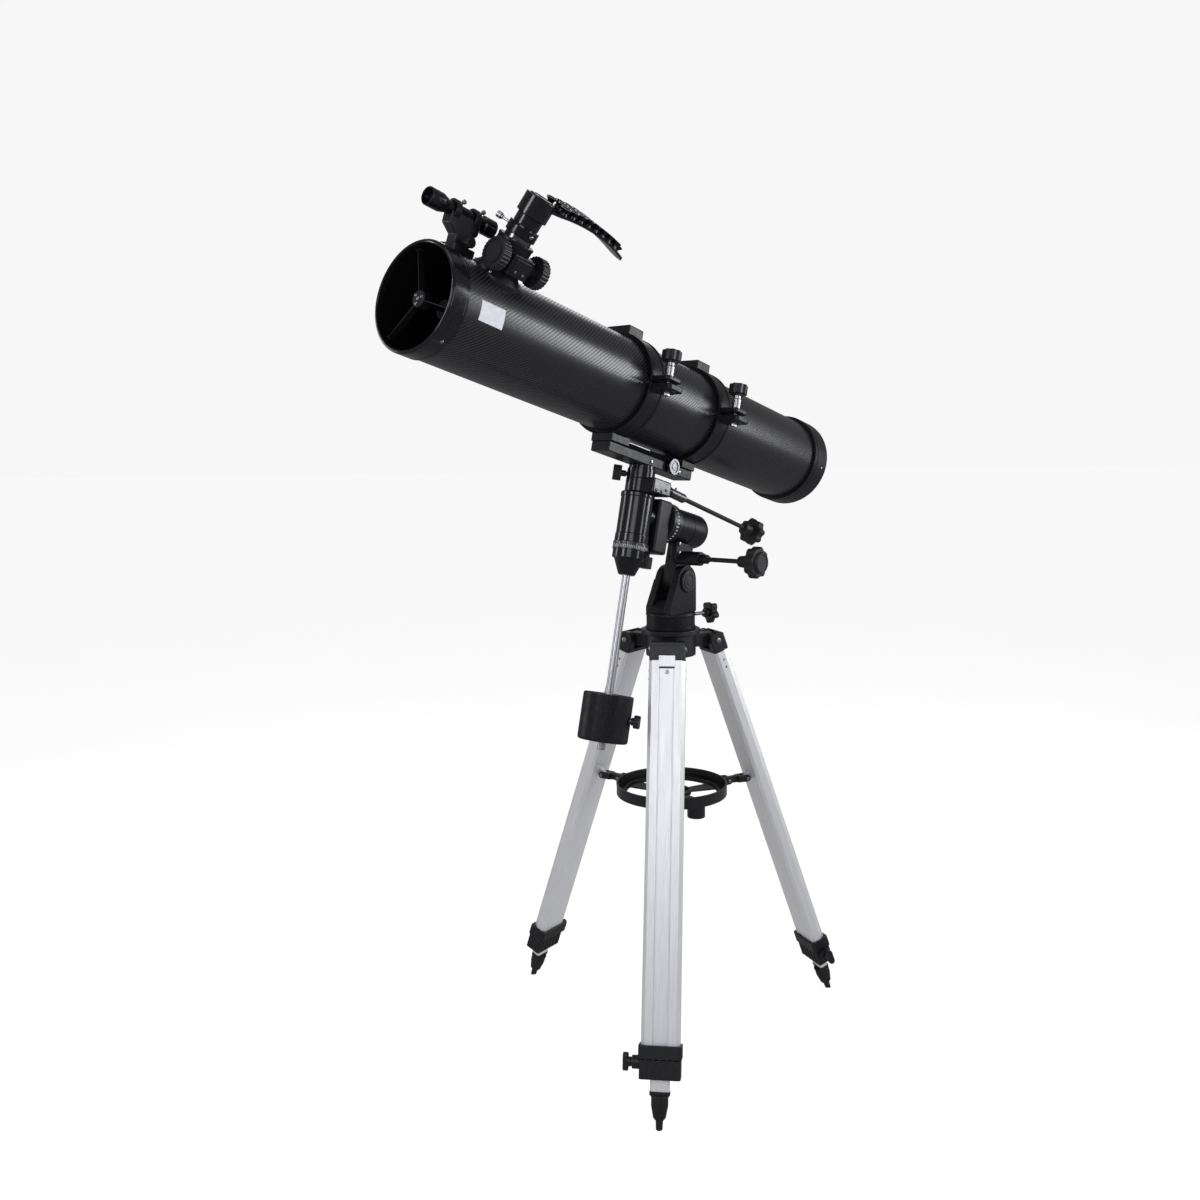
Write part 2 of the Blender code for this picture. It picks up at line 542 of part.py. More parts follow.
def make_cradle(cradle):
    plate = block((-0.1050, -0.0175, -0.1010), (0.1030, 0.0175, -0.0863), 0.0010)
    solid("cradle_plate", cradle, "black_paint", placed(plate),
          [cut(block((-0.0250, -0.0120, -0.0900), (0.0450, 0.0120, -0.0800))),
           cut(rod(0.0041, -0.0030, 0.0300), at(-0.0480, 0, -0.0912, ALONG_Y))])
    bolt = frame("cradle_bolt_frame", cradle, (-0.0480, 0, -0.0912))
    head = turned([(0, 0), (0.0038, 0), (0.0038, 0.0178), (0.0060, 0.0178), (0.0060, 0.0195), (0.0125, 0.0195),
                   (0.0130, 0.0200), (0.0130, 0.0250), (0.0120, 0.0260), (0, 0.0260)])
    solid("cradle_bolt", bolt, "steel", placed(head, ALONG_Y))


def ring_half(start, end, steps=16):
    return arc(0, 0, RING_OUTER, start, end, steps) + arc(0, 0, RING_INNER, end, start, steps)


def make_ring(cradle, name, place):
    half = RING_WIDTH / 2
    lower = frame(f"ring_lower_frame_{name}", cradle, (place, 0, 0))
    foot_start = -0.024 if name == "front" else -half
    foot = block((foot_start, -0.0200, -0.0860), (half + 0.001 * (name == "front"), 0.0200, -0.0735), 0.0010)
    steps = [join(foot),
             join(block((-half, RING_OUTER - 0.003, -0.0120), (half, 0.1120, -0.0040), 0.0008)),
             cut(rod(RING_INNER, -0.05, 0.05, sides=40), ALONG_X)]
    for low, high in ((-half, -0.0062), (0.0062, half)):
        hinge = arc(-RING_HINGE, 0, 0.0060, 0, pi, 8) + [(-RING_HINGE - 0.0050, -0.0060), (-0.0760, -0.0200),
                                                         (-0.0730, -0.0100)]
        steps.append(join(prism(hinge, low, high), IN_YZ))
    steps.append(join(rod(0.0019, -half + 0.001, half - 0.001, sides=12), at(0, -RING_HINGE, 0, ALONG_X)))
    solid(f"ring_lower_{name}", lower, "black_paint",
          placed(prism(ring_half(radians(181), radians(358)), -half, half), IN_YZ), steps)


def make_cap(cradle, name, place):
    half = RING_WIDTH / 2
    upper = frame(f"ring_upper_frame_{name}", cradle, (place, -RING_HINGE, 0))
    centre = at(0, RING_HINGE, 0)
    hinge = arc(-RING_HINGE, 0, 0.0060, -pi, 0, 8) + [(-0.0730, 0.0100), (-0.0760, 0.0200), (-RING_HINGE - 0.0050, 0.0060)]
    solid(f"ring_upper_{name}", upper, "black_paint",
          placed(prism(ring_half(radians(1.5), radians(179)), -half, half), centre @ IN_YZ),
          [join(block((-half, -0.0220, 0.0700), (half, 0.0220, 0.0870), 0.0015), centre),
           join(block((-half, RING_OUTER - 0.003, 0.0020), (half, 0.1070, 0.0080), 0.0008), centre),
           join(prism(hinge, -0.0058, 0.0058), centre @ IN_YZ),
           cut(rod(RING_INNER, -0.05, 0.05, sides=48), centre @ ALONG_X),
           cut(rod(0.0023, -0.02, 0.02, sides=12), ALONG_X),
           cut(rod(0.0033, -0.01, 0.02), centre @ at(0, RING_BOLT, 0))])
    knob = frame(f"ring_knob_frame_{name}", upper, (0, RING_HINGE + RING_BOLT, 0))
    solid(f"ring_clamp_knob_{name}", knob, "black_plastic",
          placed(prism(lobed(0.0145, 0.0015, 8, 3), 0.0320, 0.0475)),
          [join(rod(0.0067, 0.0083, 0.0330, 0.0006, 20)), join(rod(0.0030, -0.0034, 0.0200))])


# Tube ---------------------------------------------------------------------------------------------


def make_tube(tube):
    lean = about("X", -FOCUSER_LEAN)
    solid("main_tube", tube, "carbon_wrap",
          placed(pipe(TUBE_RADIUS, TUBE_RADIUS - TUBE_WALL, TUBE_END, TUBE_MOUTH, sides=40), ALONG_X),
          [cut(rod(0.0195, 0.050, 0.090, sides=ROUND), at(FOCUSER_PLACE, 0, 0) @ lean)])
    sleeve = TUBE_RADIUS + GAP
    front = turned([(0.0718, 0.4550), (0.0720, 0.4552), (0.0720, FRONT_RIM - 0.0015), (0.0705, FRONT_RIM),
                    (0.0680, FRONT_RIM), (0.0670, FRONT_RIM - 0.0015), (0.0670, TUBE_MOUTH + GAP),
                    (sleeve, TUBE_MOUTH + GAP), (sleeve, 0.4550)], 40)
    solid("front_ring", tube, "black_paint", placed(front, ALONG_X))
    rear = turned([(0, REAR_FACE), (0.0700, REAR_FACE), (0.0740, REAR_FACE + 0.0020), (0.0760, REAR_FACE + 0.0060),
                   (0.0760, -0.3770), (0.0750, -0.3760), (sleeve, -0.3760), (sleeve, TUBE_END - GAP),
                   (0.0640, TUBE_END - GAP), (0.0640, REAR_FACE + 0.0050), (0.0450, REAR_FACE + 0.0050),
                   (0.0450, -0.3973), (0, -0.3973)], 40)
    solid("rear_cell", tube, "black_paint", placed(rear, ALONG_X))
    glass = turned([(0, -0.3970), (0.0560, -0.3970), (0.0570, -0.3960), (0.0570, -0.3860), (0.0400, -0.3870),
                    (0.0200, -0.3876), (0, -0.3878)], FINE)
    solid("primary_mirror", tube, "mirror", placed(glass, ALONG_X))

    steps = []
    for angle in SPIDER_ANGLES:
        vane = block((SPIDER_PLACE - 0.0045, 0.0080, -0.0006), (SPIDER_PLACE + 0.0045, 0.0660, 0.0006))
        pad = block((SPIDER_PLACE - 0.0045, 0.0655, -0.0040), (SPIDER_PLACE + 0.0045, 0.0677, 0.0040))
        steps.append(join(vane, about("X", angle)))
        steps.append(join(pad, about("X", angle)))
    steps.append(join(rod(0.0040, FOCUSER_PLACE + 0.0400, SPIDER_PLACE), ALONG_X))
    steps.append(join(rod(0.0125, FOCUSER_PLACE - 0.0200, FOCUSER_PLACE + 0.0450, 0.0008, 24), ALONG_X))
    slope = at(FOCUSER_PLACE, 0, 0) @ lean @ about("Y", -pi / 4)
    steps.append(cut(block((-0.05, -0.05, -0.0034), (0.05, 0.05, 0.06)), slope))
    hub = rod(0.0110, SPIDER_PLACE - 0.0070, SPIDER_PLACE + 0.0060, 0.0010, 24)
    solid("spider", tube, "black_paint", placed(hub, ALONG_X), steps)
    ellipse = [(x * 1.414, y) for x, y in arc(0, 0, 0.0150, 0, 2 * pi, 32)[:-1]]
    solid("secondary_mirror", tube, "mirror", placed(prism(ellipse, -0.0030, 0.0), slope))


def make_focuser(focuser):
    tower = turned([(0, 0.0520), (0.0350, 0.0520), (0.0350, 0.0650), (0.0320, 0.0715),
                    (0.0240, 0.0820), (0.0240, 0.1180), (0, 0.1180)], FINE)
    solid("focuser_base", focuser, "black_plastic", placed(tower),
          [join(block((-0.0180, 0.0050, 0.0800), (0.0180, 0.0340, 0.1080), 0.0020)),
           join(rod(0.0080, -0.0270, 0.0270, 0.0010, 20), at(0, PINION_OFFSET, PINION_HEIGHT, ALONG_X)),
           cut(rod(TUBE_RADIUS + GAP, -0.06, 0.06, sides=40), ALONG_X),
           cut(rod(DRAWTUBE_RADIUS + GAP, 0.04, 0.14, sides=FINE)),
           cut(rod(0.0033, -0.04, 0.04), at(0, PINION_OFFSET, PINION_HEIGHT, ALONG_X))])
    slide = frame("drawtube_frame", focuser)
    inside = DRAWTUBE_RADIUS - 0.0020
    body = turned([(DRAWTUBE_RADIUS, 0.0540), (DRAWTUBE_RADIUS, 0.1235), (0.0205, 0.1240), (0.0205, 0.1370),
                   (0.0195, 0.1380), (inside, 0.1380), (inside, 0.0540)], FINE)
    solid("drawtube", slide, "steel", placed(body))
    eyepiece = turned([(0, 0.1150), (0.0157, 0.1150), (0.0157, 0.1383), (0.0173, 0.1383), (0.0173, 0.1760),
                       (0.0160, 0.1780), (0.0120, 0.1780), (0.0080, 0.1740), (0, 0.1740)], FINE)
    solid("eyepiece", slide, "black_paint", placed(eyepiece))
    knobs = frame("focus_knob_frame", focuser, (0, PINION_OFFSET, PINION_HEIGHT))
    disc = prism(lobed(0.0205, 0.0010, 12, 3), 0.0285, 0.0415)
    twin = prism(lobed(0.0205, 0.0010, 12, 3), 0.0285, 0.0415)
    solid("focus_knobs", knobs, "black_plastic", placed(disc, ALONG_X),
          [join(twin, about("Z", pi) @ ALONG_X), join(rod(0.0030, -0.0400, 0.0400), ALONG_X)])
    swivel = frame("adapter_frame", slide)
    make_adapter(swivel)


def make_adapter(swivel):
    """Collar round the eyepiece and a bowed plate for the phone, seen from the side as one outline."""
    top = arc(-0.070, -0.142, 0.3220, radians(78.4), radians(107.35), 12)
    bottom = [(x, z - 0.0065) for x, z in reversed(top)]
    outline = top + bottom
    plan = arc(-0.1490, 0, 0.0160, pi / 2, 3 * pi / 2, 10) + [(-0.095, -0.0250), (-0.020, -0.0250), (-0.005, -0.0180),
                                                               (-0.005, 0.0180), (-0.020, 0.0250), (-0.095, 0.0250)]
    solid("phone_adapter", swivel, "black_plastic", placed(prism(outline, -0.030, 0.030), IN_XZ),
          [("INTERSECT", prism(plan, 0.05, 0.25), Matrix.Identity(4)),
           join(rod(0.0206, 0.1510, 0.1765, 0.0008, FINE)),
           cut(rod(0.0176, 0.10, 0.20, sides=FINE))])


def make_finder(finder):
    """A small finder telescope over its bracket; X forward, Z away from the tube."""
    axis = at(0, 0, FINDER_RISE, ALONG_X)
    barrel = turned([(0, 0.3900), (0.0105, 0.3900), (0.0115, 0.3910), (0.0115, 0.4080), (0.0088, 0.4100),
                     (0.0088, 0.4700), (0.0100, 0.4740), (0.0118, 0.4800), (0.0118, 0.4990), (0.0110, 0.5000),
                     (0.0098, 0.5000), (0.0095, 0.4900), (0, 0.4900)])
    solid("finder_scope", finder, "black_plastic", placed(barrel, axis))
    shoe = block((0.4195, -0.0150, 0.0620), (0.4540, 0.0150, 0.0790), 0.0010)
    post = [(0.4250, 0.0700), (0.4500, 0.0700), (0.4500, 0.0900), (0.4640, 0.1000), (0.4640, 0.1160), (0.4160, 0.1160),
            (0.4160, 0.1000), (0.4250, 0.0900)]
    solid("finder_bracket", finder, "black_plastic", placed(shoe),
          [join(prism(post, -0.0085, 0.0085, 0.0010), IN_XZ),
           join(rod(0.0030, 0.0080, 0.0300), at(0.4380, 0, 0.0840, ALONG_Y)),
           join(rod(0.0070, 0.0190, 0.0270, 0.0010), at(0.4380, 0, 0.0840, ALONG_Y)),
           cut(rod(0.0091, 0.40, 0.50, sides=ROUND), axis),
           cut(rod(TUBE_RADIUS + GAP, 0.38, 0.50, sides=40), ALONG_X)])


# Build --------------------------------------------------------------------------------------------


def clear_scene():
    for item in list(bpy.data.objects):
        bpy.data.objects.remove(item, do_unlink=True)


def set_origin(row):
    """Move the row's origin to the middle of the bounding box's floor."""
    bpy.context.view_layer.update()
    graph = bpy.context.evaluated_depsgraph_get()
    corners = []
    for piece in bpy.context.scene.objects:
        if piece.type == "MESH" and not piece.hide_render:
            shape = piece.evaluated_get(graph)
            corners += [piece.matrix_world @ vertex.co for vertex in shape.data.vertices]
    low = [min(corner[k] for corner in corners) for k in range(3)]
    high = [max(corner[k] for corner in corners) for k in range(3)]
    row.location = (-(low[0] + high[0]) / 2, -(low[1] + high[1]) / 2, -low[2])
    bpy.context.view_layer.update()


def main():
    clear_scene()
    row = frame("telescope")
    make_hub(row)
    for name, heading in LEG_HEADINGS.items():
        make_leg(row, name, heading)
        make_arm(row, name, heading)
    make_tray(row)

    azimuth = frame("azimuth_frame", row, turn=(0, 0, MOUNT_HEADING))
    make_azimuth_base(azimuth)
    make_azimuth_lock(azimuth)
    latitude = frame("latitude_frame", azimuth, (-PIVOT_BACK, 0, PIVOT_HEIGHT), (0, -LATITUDE, 0))
    make_latitude_bolt(latitude)
    make_ra_housing(latitude)
    make_ra_circle(latitude)
    make_ra_slow_motion(latitude)
    make_ra_lock(latitude)
    polar = frame("polar_frame", latitude, (0, 0, POLAR_RISE))
    make_declination_head(polar)
    make_dec_slow_motion(polar)
    make_dec_lock(polar)
    axle = make_declination_axle(polar)
    make_counterweight(axle)

    cradle = frame("cradle_frame", axle, (0, 0, TUBE_RISE))
    make_cradle(cradle)
    for name, place in RING_PLACES.items():
        make_ring(cradle, name, place)
        make_cap(cradle, name, place)
    tube = frame("tube_frame", cradle)
    make_tube(tube)
    make_focuser(frame("focuser_frame", tube, (FOCUSER_PLACE, 0, 0), (-FOCUSER_LEAN, 0, 0)))
    make_finder(frame("finder_frame", tube, turn=(-FINDER_LEAN, 0, 0)))
    set_origin(row)


main()
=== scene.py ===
"""Newtonian reflector telescope: finished pieces on the CAD bodies, a plain pale studio and the camera.

Lengths are metres, +Z is up. Each sub-assembly has its own frame on its joint's axis; in the frames of the
mount and the tube, X points forward along the axis, Y to the right-hand side and Z outward.
"""
from math import cos, pi, radians, sin

import bmesh
import bpy
from mathutils import Matrix, Vector


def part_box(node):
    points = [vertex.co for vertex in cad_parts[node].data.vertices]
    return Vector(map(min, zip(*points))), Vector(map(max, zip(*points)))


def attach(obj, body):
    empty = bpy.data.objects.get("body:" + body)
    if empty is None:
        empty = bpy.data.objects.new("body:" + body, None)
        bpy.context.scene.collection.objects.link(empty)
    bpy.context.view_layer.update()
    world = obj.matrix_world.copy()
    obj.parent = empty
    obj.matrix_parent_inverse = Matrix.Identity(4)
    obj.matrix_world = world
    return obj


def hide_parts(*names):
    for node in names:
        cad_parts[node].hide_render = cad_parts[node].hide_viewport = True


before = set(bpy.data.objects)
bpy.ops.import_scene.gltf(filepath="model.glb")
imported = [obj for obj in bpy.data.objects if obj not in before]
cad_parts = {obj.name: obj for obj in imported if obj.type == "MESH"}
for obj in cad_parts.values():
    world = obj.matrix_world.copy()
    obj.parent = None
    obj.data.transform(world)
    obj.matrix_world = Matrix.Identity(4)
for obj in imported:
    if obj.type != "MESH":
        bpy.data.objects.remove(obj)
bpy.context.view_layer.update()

# Dimensions ---------------------------------------------------------------------------------------
GAP = 0.0003

LEG_HEADINGS = {"front": radians(-90), "left": radians(150), "right": radians(30)}
LEG_TILT = radians(20)
HINGE_RADIUS = 0.0717
HINGE_HEIGHT = 0.6496
LEG_LENGTH = HINGE_HEIGHT / cos(LEG_TILT)
CHANNEL_WIDTH = 0.057
CHANNEL_DEPTH = 0.025
CHANNEL_WALL = 0.0022
CHANNEL_TOP = -0.0193
CHANNEL_BOTTOM = -0.5900
CLAMP_TOP = -0.5775
CLAMP_BOTTOM = -0.6240
LEG_SCREW = -0.6030
INNER_LEG_WIDTH = 0.028
INNER_LEG_DEPTH = 0.015
INNER_LEG_TOP = -0.060

HUB_TOP = 0.6715
HUB_RADIUS = 0.040
HUB_LOW = 0.6285
FLANGE_RADIUS = 0.047
SPIGOT_RADIUS = 0.0203
LUG_WIDTH = 0.025
LUG_END = 0.0105

TRAY_RADIUS = 0.090
TRAY_TOP = 0.4165
TRAY_HEIGHT = 0.0185
TRAY_FLOOR = 0.0025
TRAY_HINGE_RADIUS = 0.103
ARM_HINGE_RADIUS = 0.1385
ARM_HEIGHT = 0.4070
POCKET = (0.0425, -0.0580)

MOUNT_HEADING = radians(-123.36)
LATITUDE = radians(14.1)
PIVOT_BACK = 0.014
PIVOT_HEIGHT = 0.747
POLAR_RISE = 0.084
DEC_AHEAD = 0.126
TUBE_RISE = 0.175
AZIMUTH_LOCK_HEADING = radians(163)
AZIMUTH_LOCK_HEIGHT = 0.690
COUNTERWEIGHT_TOP = -0.277
COUNTERWEIGHT_BOTTOM = -0.349
COUNTERWEIGHT_SCREW = radians(28)

TUBE_RADIUS = 0.070
TUBE_WALL = 0.0016
FRONT_RIM = 0.484
TUBE_MOUTH = 0.4765
TUBE_END = -0.4015
REAR_FACE = -0.421
RING_INNER = 0.0705
RING_OUTER = 0.0765
RING_WIDTH = 0.034
RING_PLACES = {"front": 0.085, "rear": -0.090}
RING_HINGE = 0.084
RING_BOLT = 0.094

SPIDER_PLACE = 0.469
SPIDER_ANGLES = (radians(105), radians(223), radians(343))
FOCUSER_PLACE = 0.389
FOCUSER_LEAN = radians(34)
DRAWTUBE_RADIUS = 0.018
PINION_OFFSET = 0.0222
PINION_HEIGHT = 0.0955
FINDER_LEAN = radians(9)
FINDER_RISE = 0.1180

FINE = 112
ROUND = 64
SMALL = 32
EDGE = 0.0005                       # the usual rounding of a moulded edge

# Outlines -----------------------------------------------------------------------------------------


def arc(centre_x, centre_y, radius, start, end, steps):
    """Points on a circle from start to end, both included."""
    turns = [start + (end - start) * k / steps for k in range(steps + 1)]
    return [(centre_x + radius * cos(t), centre_y + radius * sin(t)) for t in turns]


def rounded_rectangle(width, depth, radius, steps=6):
    x, y = width / 2 - radius, depth / 2 - radius
    corners = ((x, y, 0), (-x, y, 1), (-x, -y, 2), (x, -y, 3))
    return [p for cx, cy, k in corners for p in arc(cx, cy, radius, k * pi / 2, (k + 1) * pi / 2, steps)]


def stadium(length, width, steps=16):
    """A bar with round ends, along X."""
    reach, radius = (length - width) / 2, width / 2
    return arc(reach, 0, radius, -pi / 2, pi / 2, steps) + arc(-reach, 0, radius, pi / 2, 3 * pi / 2, steps)


def lobed(radius, depth, lobes, steps=12):
    """A star-knob outline: a circle whose radius swells at each lobe."""
    count = lobes * steps
    turns = [2 * pi * k / count for k in range(count)]
    reach = [radius - depth * (1 - cos(lobes * t)) / 2 for t in turns]
    return [(r * cos(t), r * sin(t)) for r, t in zip(reach, turns)]


def hexagon(across):
    return arc(0, 0, across / 2 / cos(pi / 6), 0, 5 * pi / 3, 5)


# Meshes -------------------------------------------------------------------------------------------


def finished(form, bevel=0.0, segments=3):
    """Turn a bmesh into a mesh whose faces point out, its sharp edges rounded."""
    bmesh.ops.recalc_face_normals(form, faces=form.faces)
    if bevel:
        sharp = [e for e in form.edges if len(e.link_faces) == 2 and e.calc_face_angle() > radians(28)]
        bmesh.ops.bevel(form, geom=sharp, offset=bevel, segments=segments, profile=0.5, affect="EDGES",
                        clamp_overlap=True)
        bmesh.ops.remove_doubles(form, verts=form.verts, dist=2e-6)
    mesh = bpy.data.meshes.new("form")
    form.to_mesh(mesh)
    form.free()
    return mesh


def turned(profile, sides=ROUND, bevel=0.0):
    """Turn a profile of (radius, height) points about Z; a profile that leaves the axis closes on itself."""
    form = bmesh.new()
    rings = []
    for radius, height in profile:
        if radius < 1e-7:
            rings.append([form.verts.new((0, 0, height))])
        else:
            circle = arc(0, 0, radius, 0, 2 * pi, sides)[:-1]
            rings.append([form.verts.new((x, y, height)) for x, y in circle])
    solid_core = len(rings[0]) == 1 and len(rings[-1]) == 1
    for low, high in zip(rings, rings[1:] if solid_core else rings[1:] + rings[:1]):
        for k in range(sides):
            following = k + 1
            corners = [low[k % len(low)], low[following % sides % len(low)],
                       high[following % sides % len(high)], high[k % len(high)]]
            form.faces.new(list(dict.fromkeys(corners)))
    return finished(form, bevel)


def rod(radius, low, high, bevel=0.0, sides=SMALL):
    """A cylinder along Z."""
    return turned([(0, low), (radius, low), (radius, high), (0, high)], sides, bevel)


def pipe(outer, inner, low, high, bevel=0.0, sides=ROUND):
    """A tube along Z."""
    return turned([(outer, low), (outer, high), (inner, high), (inner, low)], sides, bevel)


def prism(outline, low, high, bevel=0.0):
    """Extrude an outline along Z."""
    form = bmesh.new()
    base = form.faces.new([form.verts.new((x, y, low)) for x, y in outline])
    lifted = bmesh.ops.extrude_face_region(form, geom=[base])["geom"]
    corners = [v for v in lifted if isinstance(v, bmesh.types.BMVert)]
    bmesh.ops.translate(form, vec=(0, 0, high - low), verts=corners)
    return finished(form, bevel)


def block(low, high, bevel=0.0):
    """A box between two corners."""
    form = bmesh.new()
    bmesh.ops.create_cube(form, size=1)
    middle = [(a + b) / 2 for a, b in zip(low, high)]
    size = [b - a for a, b in zip(low, high)]
    bmesh.ops.transform(form, matrix=Matrix.Translation(middle) @ Matrix.Diagonal((*size, 1)), verts=form.verts)
    return finished(form, bevel)


def gathered(meshes):
    """Several closed meshes in one."""
    form = bmesh.new()
    for mesh, matrix in meshes:
        mesh.transform(matrix)
        form.from_mesh(mesh)
    return finished(form)


ALONG_X = Matrix.Rotation(pi / 2, 4, "Y")
ALONG_Y = Matrix.Rotation(-pi / 2, 4, "X")
IN_XZ = Matrix.Rotation(pi / 2, 4, "X")
IN_YZ = Matrix(((0, 0, 1, 0), (1, 0, 0, 0), (0, 1, 0, 0), (0, 0, 0, 1)))


def at(x, y, z, turn=None):
    return Matrix.Translation((x, y, z)) @ (turn or Matrix.Identity(4))


def about(axis, angle):
    return Matrix.Rotation(angle, 4, axis)


# Frames -------------------------------------------------------------------------------------------


def on_heading(heading, radius, height):
    return radius * cos(heading), radius * sin(heading), height


hub_low, hub_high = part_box("tripod_hub")
ROW = at((hub_low.x + hub_high.x) / 2, hub_low.y + HINGE_RADIUS + LUG_END, hub_low.z - HUB_LOW)
AZIMUTH = ROW @ about("Z", MOUNT_HEADING)
POLAR_BASE = AZIMUTH @ at(-PIVOT_BACK, 0, PIVOT_HEIGHT, about("Y", -LATITUDE))
POLAR = POLAR_BASE @ at(0, 0, POLAR_RISE)
AXLE = POLAR @ at(DEC_AHEAD, 0, 0)
TUBE = AXLE @ at(0, 0, TUBE_RISE)
FOCUSER = TUBE @ at(FOCUSER_PLACE, 0, 0, about("X", -FOCUSER_LEAN))
FINDER = TUBE @ about("X", -FINDER_LEAN)
LEGS = {name: ROW @ at(*on_heading(heading, HINGE_RADIUS, HINGE_HEIGHT))
        @ about("Z", heading - pi / 2) @ about("X", LEG_TILT) for name, heading in LEG_HEADINGS.items()}

# Finishes -----------------------------------------------------------------------------------------


class Finish:
    """A material's node graph: a noise over the piece sets its colour, roughness and fine relief."""

    def __init__(self, name, home=None):
        self.material = bpy.data.materials.new(name)
        self.material.use_nodes = True
        self.tree = self.material.node_tree
        self.shader = self.tree.nodes["Principled BSDF"]
        self.place = self.tree.nodes.new("ShaderNodeTexCoord").outputs["Object"]
        if home is not None:
            back = home.inverted()
            self.place = self.node("ShaderNodeMapping", {"Vector": self.place, "Location": back.to_translation(),
                                                         "Rotation": back.to_euler()}).outputs[0]

    def node(self, kind, inputs=None, **settings):
        made = self.tree.nodes.new(kind)
        for key, value in settings.items():
            setattr(made, key, value)
        for key, value in (inputs or {}).items():
            if isinstance(value, bpy.types.NodeSocket):
                self.tree.links.new(value, made.inputs[key])
            else:
                made.inputs[key].default_value = value
        return made

    def math(self, operation, *values):
        return self.node("ShaderNodeMath", dict(enumerate(values)), operation=operation).outputs[0]

    def noise(self, scale, detail=3.0, stretch=None):
        place = self.place
        if stretch:
            place = self.node("ShaderNodeMapping", {"Vector": place, "Scale": stretch}).outputs[0]
        return self.node("ShaderNodeTexNoise", {"Vector": place, "Scale": scale, "Detail": detail}).outputs[0]

    def between(self, amount, low, high):
        """A value from low to high as amount goes over the noise's usual range."""
        return self.node("ShaderNodeMapRange", {"Value": amount, "From Min": 0.3, "From Max": 0.7,
                                                "To Min": low, "To Max": high}).outputs[0]

    def mix(self, amount, low, high):
        made = self.node("ShaderNodeMix", data_type="RGBA", clamp_factor=True)
        for socket, value in ((made.inputs[0], amount), (made.inputs[6], low), (made.inputs[7], high)):
            if isinstance(value, bpy.types.NodeSocket):
                self.tree.links.new(value, socket)
            else:
                socket.default_value = (*value, 1) if isinstance(value, tuple) else value
        return made.outputs[2]

    def set(self, **values):
        for key, value in values.items():
            socket = self.shader.inputs[key.replace("_", " ")]
            if isinstance(value, bpy.types.NodeSocket):
                self.tree.links.new(value, socket)
            else:
                socket.default_value = value

    def relief(self, height, strength, distance=0.0002):
        bump = self.node("ShaderNodeBump", {"Height": height, "Strength": strength, "Distance": distance})
        self.set(Normal=bump.outputs[0])


def grained(name, low, high, rough, scale, relief=0.15, metal=0.0, coat=0.0, home=None, stretch=None, shine=0.4):
    """A finish whose colour runs between two tones and whose roughness varies with the same grain."""
    made = Finish(name, home)
    amount = made.between(made.noise(scale, 4.0, stretch), 0.0, 1.0)
    made.set(Base_Color=made.mix(amount, low, high), Metallic=metal, Coat_Weight=coat, Coat_Roughness=0.08,
             Specular_IOR_Level=shine,
             Roughness=made.between(made.noise(scale * 0.37, 3.0, stretch), rough[0], rough[1]))
    made.relief(made.noise(scale * 1.6, 2.0, stretch), relief)
    return made.material


def carbon_wrap():
    """Printed twill: diagonal stripes that wind round the tube, with a faint weave across them."""
    made = Finish("carbon_wrap", TUBE)
    split = made.node("ShaderNodeSeparateXYZ", {"Vector": made.place}).outputs
    turn = made.math("ARCTAN2", split[1], split[2])
    along = made.math("MULTIPLY", split[0], 2 * pi / STRIPE_PITCH)
    phase = made.math("ADD", along, made.math("MULTIPLY", turn, -STRIPES))
    wave = made.math("SINE", phase)
    across = made.math("SINE", made.math("ADD", made.math("MULTIPLY", along, 2.0),
                                         made.math("MULTIPLY", turn, 2.0 * STRIPES)))
    lit = made.node("ShaderNodeMapRange", {"Value": wave, "From Min": -0.45, "From Max": 0.75}).outputs[0]
    grain = made.noise(900, 2.0)
    weave = made.math("MULTIPLY", made.between(made.math("ADD", 0.5, made.math("MULTIPLY", across, 0.2)), 0.75, 1.0),
                      made.between(grain, 0.85, 1.0))
    made.set(Base_Color=made.mix(made.math("MULTIPLY", lit, weave), (0.0016, 0.0016, 0.0022), (0.024, 0.023, 0.029)), Specular_IOR_Level=0.42,
             Roughness=made.node("ShaderNodeMapRange", {"Value": lit, "To Min": 0.36, "To Max": 0.24}).outputs[0])
    made.relief(wave, 0.12, 0.00008)
    return made.material


def graduated(name, home, count, low, high, every=5):
    """Black enamel with white ticks round the home frame's X axis, longer at each tenth."""
    made = Finish(name, home)
    split = made.node("ShaderNodeSeparateXYZ", {"Vector": made.place}).outputs
    turn = made.math("DIVIDE", made.math("ARCTAN2", split[1], split[2]), 2 * pi)
    fine = made.math("LESS_THAN", made.math("FRACT", made.math("MULTIPLY", turn, count)), 0.36)
    bold = made.math("LESS_THAN", made.math("FRACT", made.math("MULTIPLY", turn, count / every)), 0.36 / every)
    reach = made.math("ADD", (high - low) * 0.55, made.math("MULTIPLY", bold, (high - low) * 0.4))
    depth = made.math("SUBTRACT", split[0], low)
    inside = made.math("MULTIPLY", made.math("GREATER_THAN", depth, 0.0), made.math("LESS_THAN", depth, reach))
    mark = made.math("MULTIPLY", fine, inside)
    grain = made.noise(700, 3.0)
    black = made.mix(made.between(grain, 0.0, 1.0), (0.006, 0.006, 0.007), (0.014, 0.014, 0.016))
    made.set(Base_Color=made.mix(mark, black, (0.36, 0.36, 0.37)), Roughness=made.between(grain, 0.28, 0.38))
    return made.material


STRIPES = 76
STRIPE_PITCH = 0.0062

